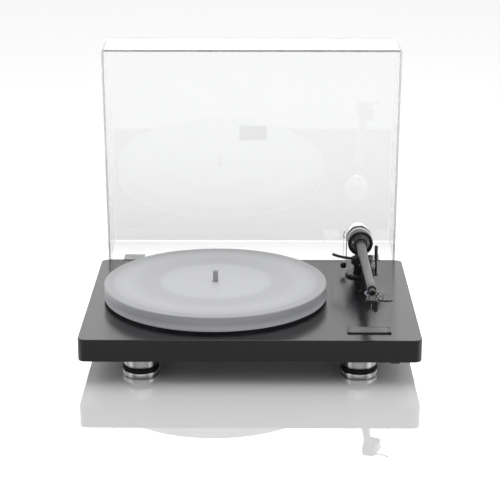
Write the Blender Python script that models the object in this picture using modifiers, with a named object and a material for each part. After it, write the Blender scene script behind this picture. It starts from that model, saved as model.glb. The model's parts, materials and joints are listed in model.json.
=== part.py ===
"""A belt-driven record player: plinth on damped feet, acrylic platter, straight arm and hinged cover.

Metres, +Z up. Places are given from the plinth's centre, in plan, and from the surface the feet stand on.
One empty carries the whole deck and centres the open player's bounding box on the origin.
"""

from math import atan2, cos, hypot, pi, radians, sin

import bmesh
import bpy
from mathutils import Vector

# Clearances between pieces
SEAT_GAP = 0.0003  # between two pieces that touch
RUN_GAP = 0.0004  # round a piece that turns or slides
EDGE = 0.0006  # small chamfer on machined edges

# Plinth
PLINTH_WIDTH = 0.435
PLINTH_DEPTH = 0.340
PLINTH_THICKNESS = 0.0295
PLINTH_CORNER = 0.010
PLINTH_EDGE = 0.0012

# Feet, from the floor up: turned base, rubber damper, turned post
FOOT_INSET_X = 0.0775
FOOT_INSET_Y = 0.039
FOOT_BASE_RADIUS = 0.0235
FOOT_BASE_HEIGHT = 0.0084
FOOT_DAMPER_RADIUS = 0.0240
FOOT_DAMPER_HEIGHT = 0.0056
FOOT_POST_RADIUS = 0.02175
FOOT_POST_HEIGHT = 0.0164
FOOT_STUD_RADIUS = 0.004
FOOT_STUD_DEPTH = 0.006

# Platter, sub-platter, spindle and main bearing
PLATTER_X = -0.0475
PLATTER_Y = 0.0
PLATTER_RADIUS = 0.150
PLATTER_THICKNESS = 0.0195
PLATTER_LIFT = 0.0035
PLATTER_CEILING = 0.0047  # solid acrylic left above the sub-platter
BELT_RECESS_DEPTH = 0.0045
SUB_PLATTER_RADIUS = 0.0755
SUB_PLATTER_WEB = 0.0045
SUB_PLATTER_SKIRT = 0.004
SUB_PLATTER_DROP = 0.0012  # how far its skirt hangs below the platter
SUB_PLATTER_HUB_RADIUS = 0.013
SPINDLE_RADIUS = 0.0037
SPINDLE_HEIGHT = 0.0174
SHAFT_RADIUS = 0.0048
BUSH_WALL = 0.0020
HOUSING_RADIUS = 0.010
HOUSING_PROTRUSION = 0.011  # below the plinth
HOUSING_FLANGE_RADIUS = 0.017
HOUSING_FLANGE_THICKNESS = 0.0014
HOUSING_FLOOR = 0.0025
THRUST_BALL_RADIUS = 0.0020

# Motor, pulley and belt
MOTOR_DIRECTION = radians(135)  # from the spindle, in plan
MOTOR_RADIUS = 0.0190
MOTOR_HEIGHT = 0.0180
MOTOR_WELL_ROOF = 0.006  # plinth left above the motor
PULLEY_RADIUS = 0.0055
PULLEY_FLANGE = 0.0007
MOTOR_SHAFT_RADIUS = 0.0010
BELT_WIDTH = 0.0032
BELT_THICKNESS = 0.0006
BELT_SPAN = 0.0035  # daylight between pulley and sub-platter
MOTOR_COVER_THICKNESS = 0.0012

# Power switch under the front right corner
SWITCH_X = 0.184
SWITCH_INSET_Y = 0.012
SWITCH_SIZE = (0.020, 0.017, 0.0135)
LEVER_SIZE = (0.012, 0.0050)
LEVER_PROTRUSION = 0.0050
LEVER_PIVOT_HEIGHT = 0.0065  # above the plinth's underside

# Rear terminals
TERMINAL_X = 0.075
TERMINAL_SIZE = (0.100, 0.019)
TERMINAL_POCKET_DEPTH = 0.040
TERMINAL_PLATE_THICKNESS = 0.002
TERMINAL_SPACING = 0.022
JACK_RADIUS = 0.0042
JACK_LENGTH = 0.0095
JACK_HOLE_RADIUS = 0.0021
GROUND_POST_RADIUS = 0.0040
DC_SOCKET_SIZE = 0.0125
DC_SOCKET_HOLE_RADIUS = 0.00315
BOARD_THICKNESS = 0.0016

# Dust cover and its hinges; the cover's rim size, closed
COVER_WIDTH = 0.417
COVER_DEPTH = 0.3183
COVER_HEIGHT = 0.072
COVER_WALL = 0.003
COVER_CORNER = 0.0045
COVER_DRAFT = 0.0015
COVER_REAR_INSET = 0.0096  # from the plinth's back edge to the cover's back wall
COVER_LIFT = 0.0005
COVER_OPEN = radians(84.5)
HINGE_X = 0.1715
HINGE_WIDTH = 0.030
HINGE_INSET = 0.0051  # axis, in front of the plinth's back edge
HINGE_DEPTH = 0.0105  # axis, below the plinth's top
HINGE_KNUCKLE_RADIUS = 0.0034
HINGE_NOTCH_DEPTH = 0.0092  # from the plinth's back edge
HINGE_PIN_RADIUS = 0.0015
HINGE_EAR = 0.0055
HINGE_FLOOR = 0.0024
HINGE_LEAF_THICKNESS = 0.0020
HINGE_LEAF_HEIGHT = 0.034

# Badge plate, left blank
BADGE_X = 0.152
BADGE_Y = -0.1335
BADGE_SIZE = (0.056, 0.020, 0.0017)

# Tonearm: base, gimbal, tube and counterweight, in the arm's own frame with the arm along -Y
ARM_X = 0.153
ARM_Y = 0.099
ARM_HEIGHT = 0.047  # tube axis above the plinth
ARM_REST_ANGLE = radians(0.8)
ARM_LENGTH = 0.240  # pivot to stylus
ARM_BASE_RADIUS = 0.0205
ARM_BASE_THICKNESS = 0.0032
ARM_STEM_RADIUS = 0.0085
PILLAR_RADIUS = 0.009
PILLAR_HEIGHT = 0.0280
COLLAR_RADIUS = 0.0125
COLLAR_HEIGHT = 0.0090
COLLAR_LIFT = 0.0170  # above the plinth
YOKE_SHAFT_RADIUS = 0.0048
RING_RADIUS = 0.0175
RING_WALL = 0.0043
RING_THICKNESS = 0.008
PIVOT_PIN_RADIUS = 0.0013
GIMBAL_RADIUS = 0.0095
GIMBAL_LENGTH = 0.017
TUBE_REAR_RADIUS = 0.0065
TUBE_FRONT_RADIUS = 0.00525
TUBE_END = 0.208  # from the pivot
TUBE_COLLAR_LENGTH = 0.009
STUB_RADIUS = 0.0040
STUB_LENGTH = 0.043
WEIGHT_RADIUS = 0.0175
WEIGHT_LENGTH = 0.033
WEIGHT_START = 0.0130  # behind the pivot
WEIGHT_SLEEVE_WALL = 0.0022
HEAD_ANGLE = radians(23.5)
HEAD_WIDTH = 0.0165
HEAD_FRONT = 0.0095  # from the stylus to the nose
HEAD_BACK = 0.0230
HEAD_THICKNESS = 0.0030
HEAD_DROP = 0.0005  # its top, below the tube's axis
HEAD_SLOT_SPACING = 0.0127
HEAD_SLOT_WIDTH = 0.0028
HEAD_SLOT_ENDS = (-0.003, 0.007)
HEAD_NECK_RADIUS = 0.0040
CARTRIDGE_WIDTH = 0.0165
CARTRIDGE_HEIGHT = 0.0125
CARTRIDGE_BACK = 0.0170
STYLUS_REACH = 0.0045  # tip, below the cartridge
STYLUS_HALF_WIDTH = 0.0042
STYLUS_BACK = 0.0057
FINGER_RADIUS = 0.0011
FINGER_REACH = 0.026
FINGER_Y = -0.001

# Lift: column, bar round the pivot, and cue lever
LIFT_X = 0.1643
LIFT_Y = 0.054
LIFT_COLUMN_RADIUS = 0.0046
LIFT_COLUMN_HEIGHT = 0.0255
LIFT_CAP_RADIUS = 0.0034
LIFT_CAP_HEIGHT = 0.0110
LIFT_CAP_RISE = 0.0053  # its top, above the bar's axis
LIFT_BAR_RADIUS = 0.0020
LIFT_BAR_GAP = 0.0008  # below the parked tube
LIFT_BAR_END = radians(57)
LIFT_ROD_RADIUS = 0.0019
LIFT_DROP = 0.004  # how far the bar goes down
LIFT_BORE_FLOOR = 0.0015
LIFT_BORE_SPARE = 0.0037  # left under the rod when the bar is down
LEVER_AXLE_HEIGHT = 0.0145
LEVER_AXLE_RADIUS = 0.0012
LEVER_LENGTH = 0.041
LEVER_LEAN = radians(11)
LEVER_ROD_RADIUS = 0.0014
LEVER_GRIP_RADIUS = 0.0023
LEVER_GRIP_LENGTH = 0.020
LEVER_OFFSET = 0.0085  # from the column's axis to the lever

# Arm rest
REST_DISTANCE = 0.078
REST_POST_RADIUS = 0.0035
REST_LENGTH = 0.008
REST_DROP = 0.0011  # below the parked tube
REST_WALL = 0.0025

# Anti-skate hook and weight
HOOK_WIRE_RADIUS = 0.0007
HOOK_X = -0.0225
HOOK_Y = 0.007
HOOK_RISE = 0.006  # its eye, above the tube's axis
HOOK_LOOP = 0.0105  # its top, above the eye
HOOK_POST = (0.0032, -0.0065)  # the upright, from the eye in plan
SKATE_STUD_RADIUS = 0.0009
SKATE_STUD_X = -0.014
SKATE_STUD_LENGTH = 0.0052
SKATE_WEIGHT_RADIUS = 0.00425
SKATE_WEIGHT_HEIGHT = 0.0077
SKATE_WEIGHT_BOTTOM = 0.0087  # above the plinth

# Heights that follow
PLINTH_BOTTOM = FOOT_BASE_HEIGHT + FOOT_DAMPER_HEIGHT + FOOT_POST_HEIGHT
PLINTH_TOP = PLINTH_BOTTOM + PLINTH_THICKNESS
PLATTER_BOTTOM = PLINTH_TOP + PLATTER_LIFT
PLATTER_TOP = PLATTER_BOTTOM + PLATTER_THICKNESS
SUB_PLATTER_TOP = PLATTER_TOP - PLATTER_CEILING - SEAT_GAP
ARM_AXIS = PLINTH_TOP + ARM_HEIGHT
BACK = PLINTH_DEPTH / 2
COVER_BACK = BACK - COVER_REAR_INSET
COVER_RIM = PLINTH_TOP + COVER_LIFT
HINGE_Y = BACK - HINGE_INSET
HINGE_Z = PLINTH_TOP - HINGE_DEPTH
HEAD_TOP = ARM_HEIGHT - HEAD_DROP  # above the plinth, as the three below are
HOOK_HEIGHT = ARM_HEIGHT + HOOK_RISE
HOOK_TOP = HOOK_HEIGHT + HOOK_LOOP


def deck_shift():
    """Half the difference between the open cover's reach behind and the plinth's front."""
    corner = Vector(
        (
            COVER_BACK - COVER_DRAFT - COVER_CORNER - HINGE_Y,
            COVER_RIM + COVER_HEIGHT - COVER_CORNER - HINGE_Z,
        )
    )
    reach = HINGE_Y + corner[0] * cos(COVER_OPEN) + corner[1] * sin(COVER_OPEN) + COVER_CORNER
    return -(reach - PLINTH_DEPTH / 2) / 2


def tube_radius(distance):
    """The taper of the arm tube, by distance from the pivot."""
    return TUBE_REAR_RADIUS + (TUBE_FRONT_RADIUS - TUBE_REAR_RADIUS) * distance / TUBE_END


# ---------------------------------------------------------------- scene and helpers

for old in list(bpy.data.objects):
    bpy.data.objects.remove(old)


def collection(name):
    made = bpy.data.collections.new(name)
    bpy.context.scene.collection.children.link(made)
    return made


PARTS = collection("record_player")
CUTTERS = collection("cutters")


def empty(name, location, rotation=(0, 0, 0), parent=None):
    made = bpy.data.objects.new(name, None)
    made.location = location
    made.rotation_euler = rotation
    made.parent = parent
    PARTS.objects.link(made)
    return made


DECK = empty("deck", (0, deck_shift(), 0))


def finish(name, color, roughness, metallic=0.0):
    made = bpy.data.materials.new(name)
    made.use_nodes = True
    shader = made.node_tree.nodes["Principled BSDF"]
    shader.inputs["Base Color"].default_value = (*color, 1)
    shader.inputs["Roughness"].default_value = roughness
    shader.inputs["Metallic"].default_value = metallic
    return made


def place(name, mesh, look, location=(0, 0, 0), rotation=(0, 0, 0), parent=None, smooth=True):
    """Puts a mesh in the scene as a part, or as a hidden cutter where look is None."""
    made = bpy.data.objects.new(name, mesh)
    made.location = location
    made.rotation_euler = rotation
    made.parent = parent or DECK
    if look is None:
        CUTTERS.objects.link(made)
        made.hide_render = True
        made.display_type = "WIRE"
        return made
    PARTS.objects.link(made)
    mesh.materials.append(finish(name, *look))
    if smooth:
        mesh.shade_smooth()
        mesh.set_sharp_from_angle(angle=radians(35))
    return made


def mesh_from(name, bm):
    bmesh.ops.recalc_face_normals(bm, faces=bm.faces)
    mesh = bpy.data.meshes.new(name)
    bm.to_mesh(mesh)
    bm.free()
    return mesh


def box(name, low, high, look, bevel=0.0, segments=2, **where):
    """A block between two corners, its edges rounded by bevel."""
    low, high = Vector(low), Vector(high)
    bm = bmesh.new()
    bmesh.ops.create_cube(bm, size=1)
    bmesh.ops.scale(bm, vec=high - low, verts=bm.verts)
    bmesh.ops.translate(bm, vec=(low + high) / 2, verts=bm.verts)
    if bevel:
        bmesh.ops.bevel(bm, geom=bm.edges, offset=bevel, segments=segments, profile=0.5, affect="EDGES")
    return place(name, mesh_from(name, bm), look, **where)


def slab(name, width, depth, low, high, corner, edge, look, corner_segments=6, **where):
    """A plate with round vertical corners and small rounded edges."""
    bm = bmesh.new()
    bmesh.ops.create_cube(bm, size=1)
    bmesh.ops.scale(bm, vec=(width, depth, high - low), verts=bm.verts)
    bmesh.ops.translate(bm, vec=(0, 0, (low + high) / 2), verts=bm.verts)
    upright = [e for e in bm.edges if abs(e.verts[0].co.z - e.verts[1].co.z) > (high - low) / 2]
    bmesh.ops.bevel(
        bm, geom=upright, offset=corner, segments=corner_segments, profile=0.5, affect="EDGES",
    )
    if edge:
        rims = [e for e in bm.edges if abs(e.verts[0].co.z - e.verts[1].co.z) < 1e-6]
        bmesh.ops.bevel(bm, geom=rims, offset=edge, segments=2, profile=0.5, affect="EDGES")
    return place(name, mesh_from(name, bm), look, **where)


def turned(name, profile, look, segments=32, closed=False, **where):
    """(radius, height) points, from the top down the outer side, swept round the height axis."""
    bm = bmesh.new()
    points = [bm.verts.new((radius, 0, height)) for radius, height in profile]
    for first, second in zip(points, points[1:]):
        bm.edges.new((first, second))
    if closed:
        bm.edges.new((points[-1], points[0]))
    mesh = bpy.data.meshes.new(name)
    bm.to_mesh(mesh)
    bm.free()
    made = place(name, mesh, look, smooth=False, **where)
    sweep = made.modifiers.new("turn", "SCREW")
    sweep.steps = sweep.render_steps = segments
    sweep.use_merge_vertices = True
    sweep.merge_threshold = 0.00005
    sweep.use_smooth_shade = True
    return made


def rod(name, radius, low, high, look, segments=16, edge=0.0, **where):
    """A solid cylinder along its own height axis."""
    if edge:
        profile = [
            (0, high), (radius - edge, high), (radius, high - edge), (radius, low + edge),
            (radius - edge, low), (0, low),
        ]
    else:
        profile = [(0, high), (radius, high), (radius, low), (0, low)]
    return turned(name, profile, look, segments, **where)


def sleeve(name, inner, outer, low, high, look, segments=32, edge=EDGE, **where):
    """A tube with chamfered outer edges along its own height axis."""
    profile = [
        (inner, high), (outer - edge, high), (outer, high - edge), (outer, low + edge),
        (outer - edge, low), (inner, low),
    ]
    return turned(name, profile, look, segments, closed=True, **where)


def wire(name, points, radius, look, sides=2, **where):
    """A bent wire with closed ends, turned into a welded mesh."""
    line = bpy.data.curves.new(name, "CURVE")
    line.dimensions = "3D"
    spline = line.splines.new("POLY")
    spline.points.add(len(points) - 1)
    for point, place_at in zip(spline.points, points):
        point.co = (*place_at, 1)
    line.bevel_depth = radius
    line.bevel_resolution = sides
    line.use_fill_caps = True
    holder = bpy.data.objects.new(name + "_path", line)
    bpy.context.scene.collection.objects.link(holder)
    bpy.context.view_layer.update()
    mesh = bpy.data.meshes.new_from_object(holder.evaluated_get(bpy.context.evaluated_depsgraph_get()))
    bpy.data.objects.remove(holder)
    bm = bmesh.new()
    bm.from_mesh(mesh)
    bmesh.ops.remove_doubles(bm, verts=bm.verts, dist=1e-6)
    bmesh.ops.recalc_face_normals(bm, faces=bm.faces)
    bm.to_mesh(mesh)
    bm.free()
    mesh.materials.clear()
    return place(name, mesh, look, **where)


def combine(target, other, operation="DIFFERENCE"):
    step = target.modifiers.new(operation.lower(), "BOOLEAN")
    step.operation = operation
    step.object = other
    step.solver = "EXACT"


def arc(center_x, center_y, radius, start, end, steps):
    """Points along a circle in plan, with angles counted from -Y towards -X."""
    for i in range(steps + 1):
        angle = start + (end - start) * i / steps
        yield center_x - radius * sin(angle), center_y - radius * cos(angle)


# ---------------------------------------------------------------- looks: colour, roughness, metallic

CHARCOAL = ((0.045, 0.046, 0.050), 0.45)
BLACK = ((0.012, 0.012, 0.013), 0.35)
RUBBER = ((0.015, 0.015, 0.015), 0.75)
ALUMINIUM = ((0.72, 0.72, 0.73), 0.28, 1.0)
CHROME = ((0.85, 0.85, 0.86), 0.08, 1.0)
STEEL = ((0.60, 0.60, 0.62), 0.25, 1.0)
BRONZE = ((0.45, 0.28, 0.12), 0.35, 1.0)
GOLD = ((0.80, 0.60, 0.25), 0.25, 1.0)
FROSTED = ((0.85, 0.86, 0.88), 0.45)
CLEAR = ((0.90, 0.91, 0.92), 0.10)
PALE = ((0.78, 0.79, 0.81), 0.50)
GRAPHITE = ((0.10, 0.10, 0.11), 0.35)
BOARD_GREEN = ((0.02, 0.12, 0.05), 0.50)
HINGE_PALE = ((0.82, 0.83, 0.84), 0.35)


# ---------------------------------------------------------------- plinth and feet

def motor_center():
    reach = SUB_PLATTER_RADIUS + BELT_SPAN + PULLEY_RADIUS
    return PLATTER_X + reach * cos(MOTOR_DIRECTION), PLATTER_Y + reach * sin(MOTOR_DIRECTION)


def switch_y():
    return -PLINTH_DEPTH / 2 + SWITCH_INSET_Y


def make_plinth():
    plinth = slab(
        "plinth", PLINTH_WIDTH, PLINTH_DEPTH, PLINTH_BOTTOM, PLINTH_TOP, PLINTH_CORNER, PLINTH_EDGE,
        CHARCOAL,
    )
    past = 0.002
    motor_x, motor_y = motor_center()
    well_roof = PLINTH_TOP - MOTOR_WELL_ROOF
    cuts = [
        rod(
            "cut_bearing", HOUSING_RADIUS + SEAT_GAP, PLINTH_BOTTOM - past, PLINTH_TOP + past, None, 24,
            location=(PLATTER_X, PLATTER_Y, 0),
        ),
        rod(
            "cut_motor_well", MOTOR_RADIUS + 0.002, PLINTH_BOTTOM - past, well_roof, None, 32,
            location=(motor_x, motor_y, 0),
        ),
        rod(
            "cut_pulley", PULLEY_RADIUS + 0.0025, well_roof - past, PLINTH_TOP + past, None, 24,
            location=(motor_x, motor_y, 0),
        ),
        rod(
            "cut_arm_stem", ARM_STEM_RADIUS + SEAT_GAP, PLINTH_BOTTOM - past, PLINTH_TOP + past, None,
            24, location=(ARM_X, ARM_Y, 0),
        ),
    ]
    half_x, half_y = SWITCH_SIZE[0] / 2 + 0.002, SWITCH_SIZE[1] / 2 + 0.0006
    cuts.append(
        box(
            "cut_switch", (SWITCH_X - half_x, switch_y() + 0.0015 - half_y, PLINTH_BOTTOM - past),
            (SWITCH_X + half_x, switch_y() + 0.0015 + half_y, PLINTH_BOTTOM + SWITCH_SIZE[2] + 0.003),
            None,
        )
    )
    middle = (PLINTH_BOTTOM + PLINTH_TOP) / 2
    cuts.append(
        box(
            "cut_terminals",
            (
                TERMINAL_X - TERMINAL_SIZE[0] / 2, BACK - TERMINAL_POCKET_DEPTH,
                middle - TERMINAL_SIZE[1] / 2,
            ),
            (TERMINAL_X + TERMINAL_SIZE[0] / 2, BACK + past, middle + TERMINAL_SIZE[1] / 2), None,
        )
    )
    for side in (-1, 1):
        half = HINGE_WIDTH / 2 + SEAT_GAP
        cuts.append(
            box(
                f"cut_hinge_{side}",
                (
                    side * HINGE_X - half, BACK - HINGE_NOTCH_DEPTH,
                    HINGE_Z - HINGE_KNUCKLE_RADIUS - HINGE_FLOOR - 2 * SEAT_GAP - 0.001,
                ),
                (side * HINGE_X + half, BACK + past, PLINTH_TOP + past), None,
            )
        )
    for cut in cuts:
        combine(plinth, cut)


def make_feet():
    damper_low = FOOT_BASE_HEIGHT + SEAT_GAP
    post_low = FOOT_BASE_HEIGHT + FOOT_DAMPER_HEIGHT + SEAT_GAP
    post_high = PLINTH_BOTTOM - SEAT_GAP
    stud_top = post_low + FOOT_STUD_DEPTH
    hole = FOOT_STUD_RADIUS + SEAT_GAP
    bulge = FOOT_DAMPER_RADIUS - 0.0015
    foot_y = PLINTH_DEPTH / 2 - FOOT_INSET_Y
    foot_x = PLINTH_WIDTH / 2 - FOOT_INSET_X
    for end, y in (("front", -foot_y), ("rear", foot_y)):
        for side, x in (("left", -foot_x), ("right", foot_x)):
            where = {"location": (x, y, 0)}
            turned(
                f"foot_base_{end}_{side}",
                [
                    (0, stud_top), (FOOT_STUD_RADIUS, stud_top), (FOOT_STUD_RADIUS, FOOT_BASE_HEIGHT),
                    (FOOT_BASE_RADIUS - EDGE, FOOT_BASE_HEIGHT),
                    (FOOT_BASE_RADIUS, FOOT_BASE_HEIGHT - EDGE), (FOOT_BASE_RADIUS, EDGE),
                    (FOOT_BASE_RADIUS - EDGE, 0), (0, 0),
                ],
                ALUMINIUM, 16, **where,
            )
            turned(
                f"foot_damper_{end}_{side}",
                [
                    (hole, post_low - SEAT_GAP), (bulge, post_low - SEAT_GAP),
                    (FOOT_DAMPER_RADIUS, (damper_low + post_low) / 2), (bulge, damper_low),
                    (hole, damper_low),
                ],
                RUBBER, 16, closed=True, **where,
            )
            turned(
                f"foot_post_{end}_{side}",
                [
                    (0, post_high), (FOOT_POST_RADIUS - EDGE, post_high),
                    (FOOT_POST_RADIUS, post_high - EDGE), (FOOT_POST_RADIUS, post_low + EDGE),
                    (FOOT_POST_RADIUS - EDGE, post_low), (hole, post_low), (hole, stud_top + SEAT_GAP),
                    (0, stud_top + SEAT_GAP),
                ],
                ALUMINIUM, 16, **where,
            )


# ---------------------------------------------------------------- bearing, spindle and platter

def make_bearing():
    where = {"location": (PLATTER_X, PLATTER_Y, 0)}
    bush_outer = SHAFT_RADIUS + RUN_GAP / 2 + BUSH_WALL
    bore = bush_outer + SEAT_GAP
    bottom = PLINTH_BOTTOM - HOUSING_PROTRUSION
    floor = bottom + HOUSING_FLOOR
    flange_low = PLINTH_TOP + SEAT_GAP
    top = flange_low + HOUSING_FLANGE_THICKNESS
    turned(
        "bearing_housing",
        [
            (0, floor), (bore, floor), (bore, top), (HOUSING_FLANGE_RADIUS - EDGE, top),
            (HOUSING_FLANGE_RADIUS, top - EDGE), (HOUSING_FLANGE_RADIUS, flange_low),
            (HOUSING_RADIUS, flange_low), (HOUSING_RADIUS, bottom + 2 * EDGE),
            (HOUSING_RADIUS - 2 * EDGE, bottom), (0, bottom),
        ],
        STEEL, 24, **where,
    )
    ball_top = floor + SEAT_GAP + 2 * THRUST_BALL_RADIUS
    shaft_low = ball_top + SEAT_GAP
    sleeve(
        "bearing_bush", SHAFT_RADIUS + RUN_GAP / 2, bush_outer, shaft_low + 0.001, PLINTH_TOP - 0.001,
        BRONZE, 20, **where,
    )
    bm = bmesh.new()
    bmesh.ops.create_uvsphere(bm, u_segments=12, v_segments=8, radius=THRUST_BALL_RADIUS)
    place("thrust_ball", mesh_from("thrust_ball", bm), CHROME,
          location=(PLATTER_X, PLATTER_Y, floor + SEAT_GAP + THRUST_BALL_RADIUS))
    hub_low = top + 2 * RUN_GAP
    tip = PLATTER_TOP + SPINDLE_HEIGHT
    turned(
        "spindle",
        [
            (0, tip), (SPINDLE_RADIUS * 0.5, tip - 0.0003), (SPINDLE_RADIUS * 0.87, tip - 0.0012),
            (SPINDLE_RADIUS, tip - 0.003), (SPINDLE_RADIUS, hub_low), (SHAFT_RADIUS, hub_low),
            (SHAFT_RADIUS, shaft_low + EDGE), (SHAFT_RADIUS - EDGE, shaft_low), (0, shaft_low),
        ],
        STEEL, 20, **where,
    )
    skirt = SUB_PLATTER_RADIUS - SUB_PLATTER_SKIRT
    web = SUB_PLATTER_TOP - SUB_PLATTER_WEB
    skirt_low = PLATTER_BOTTOM - SUB_PLATTER_DROP
    hole = SPINDLE_RADIUS + SEAT_GAP
    turned(
        "sub_platter",
        [
            (hole, SUB_PLATTER_TOP), (SUB_PLATTER_RADIUS, SUB_PLATTER_TOP),
            (SUB_PLATTER_RADIUS, skirt_low), (skirt, skirt_low), (skirt, web),
            (SUB_PLATTER_HUB_RADIUS, web), (SUB_PLATTER_HUB_RADIUS, hub_low + SEAT_GAP),
            (hole, hub_low + SEAT_GAP),
        ],
        PALE, 40, closed=True, **where,
    )


def make_platter():
    recess_top = PLATTER_BOTTOM + BELT_RECESS_DEPTH
    recess = SUB_PLATTER_RADIUS + BELT_SPAN + 2 * (PULLEY_RADIUS + PULLEY_FLANGE) + 0.003
    pocket = SUB_PLATTER_RADIUS + SEAT_GAP
    ceiling = PLATTER_TOP - PLATTER_CEILING
    hole = SPINDLE_RADIUS + SEAT_GAP
    edge = 0.001
    turned(
        "platter",
        [
            (hole, PLATTER_TOP), (PLATTER_RADIUS - edge, PLATTER_TOP),
            (PLATTER_RADIUS, PLATTER_TOP - edge), (PLATTER_RADIUS, PLATTER_BOTTOM + edge),
            (PLATTER_RADIUS - edge, PLATTER_BOTTOM), (recess, PLATTER_BOTTOM), (recess, recess_top),
            (pocket, recess_top), (pocket, ceiling), (hole, ceiling),
        ],
        FROSTED, 56, closed=True, location=(PLATTER_X, PLATTER_Y, 0),
    )


def belt_outline(offset):
    """Points round the sub-platter and the pulley, both offset outwards, joined by common tangents."""
    motor_x, motor_y = motor_center()
    distance = hypot(motor_x - PLATTER_X, motor_y - PLATTER_Y)
    lean = atan2(
        ((SUB_PLATTER_RADIUS - PULLEY_RADIUS) / distance),
        (1 - ((SUB_PLATTER_RADIUS - PULLEY_RADIUS) / distance) ** 2) ** 0.5,
    )
    touch = pi / 2 - lean
    points = []
    for x, y, radius, start, end, steps in (
        (motor_x, motor_y, PULLEY_RADIUS + offset, -touch, touch, 8),
        (PLATTER_X, PLATTER_Y, SUB_PLATTER_RADIUS + offset, touch, 2 * pi - touch, 40),
    ):
        for i in range(steps + 1):
            angle = MOTOR_DIRECTION + start + (end - start) * i / steps
            points.append((x + radius * cos(angle), y + radius * sin(angle)))
    return points


def make_drive():
    motor_x, motor_y = motor_center()
    where = {"location": (motor_x, motor_y, 0)}
    well_roof = PLINTH_TOP - MOTOR_WELL_ROOF
    top = well_roof - SEAT_GAP
    bottom = top - MOTOR_HEIGHT
    bore = MOTOR_SHAFT_RADIUS + RUN_GAP
    turned(
        "motor_body",
        [
            (0, bottom + 0.002), (bore, bottom + 0.002), (bore, top), (MOTOR_RADIUS - EDGE, top),
            (MOTOR_RADIUS, top - EDGE), (MOTOR_RADIUS, bottom + EDGE), (MOTOR_RADIUS - EDGE, bottom),
            (0, bottom),
        ],
        STEEL, 24, **where,
    )
    belt_low = PLATTER_BOTTOM - 0.0004
    belt_high = belt_low + BELT_WIDTH
    flange_top = belt_high + 0.0008
    turned(
        "motor_pulley",
        [
            (0, flange_top), (PULLEY_RADIUS + PULLEY_FLANGE, flange_top),
            (PULLEY_RADIUS + PULLEY_FLANGE, belt_high + SEAT_GAP),
            (PULLEY_RADIUS, belt_high + SEAT_GAP), (PULLEY_RADIUS, belt_low - SEAT_GAP),
            (PULLEY_RADIUS + PULLEY_FLANGE, belt_low - SEAT_GAP),
            (PULLEY_RADIUS + PULLEY_FLANGE, belt_low - 0.0012),
            (PULLEY_RADIUS - 0.001, belt_low - 0.0020), (MOTOR_SHAFT_RADIUS, belt_low - 0.0020),
            (MOTOR_SHAFT_RADIUS, bottom + 0.003), (0, bottom + 0.003),
        ],
        BRONZE, 16, **where,
    )
    bm = bmesh.new()
    loop = [bm.verts.new((x, y, belt_low)) for x, y in belt_outline(SEAT_GAP)]
    edges = [bm.edges.new(pair) for pair in zip(loop, loop[1:] + loop[:1])]
    raised = bmesh.ops.extrude_edge_only(bm, edges=edges)["geom"]
    bmesh.ops.translate(
        bm, vec=(0, 0, belt_high - belt_low),
        verts=[v for v in raised if isinstance(v, bmesh.types.BMVert)],
    )
    bmesh.ops.recalc_face_normals(bm, faces=bm.faces)
    mesh = bpy.data.meshes.new("drive_belt")
    bm.to_mesh(mesh)
    bm.free()
    belt = place("drive_belt", mesh, RUBBER)
    wall = belt.modifiers.new("wall", "SOLIDIFY")
    wall.thickness = BELT_THICKNESS
    wall.offset = 1
    cover_high = PLINTH_BOTTOM - SEAT_GAP
    rod(
        "motor_cover", MOTOR_RADIUS + 0.008, cover_high - MOTOR_COVER_THICKNESS, cover_high, BLACK, 24,
        **where,
    )


# ---------------------------------------------------------------- power switch and terminals

def make_switch():
    y = switch_y()
    width, depth, height = SWITCH_SIZE
    low = PLINTH_BOTTOM + 0.001
    body = box(
        "power_switch_body", (SWITCH_X - width / 2, y + 0.0015 - depth / 2, low),
        (SWITCH_X + width / 2, y + 0.0015 + depth / 2, low + height), BLACK, 0.0005, 1,
    )
    combine(
        body,
        box(
            "cut_lever_slot", (SWITCH_X - LEVER_SIZE[0] / 2 - RUN_GAP, y - 0.0055, low - 0.002),
            (SWITCH_X + LEVER_SIZE[0] / 2 + RUN_GAP, y + 0.0085, low + height - 0.002), None,
        ),
    )
    pivot = PLINTH_BOTTOM + LEVER_PIVOT_HEIGHT
    hinge = empty("power_lever_hinge", (SWITCH_X, y, pivot), parent=DECK)
    box("power_lever", (-LEVER_SIZE[0] / 2, -LEVER_SIZE[1] / 2, -LEVER_PIVOT_HEIGHT - LEVER_PROTRUSION),
        (LEVER_SIZE[0] / 2, LEVER_SIZE[1] / 2, LEVER_SIZE[1] / 2), BLACK, 0.0008, 2, parent=hinge)


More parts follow.
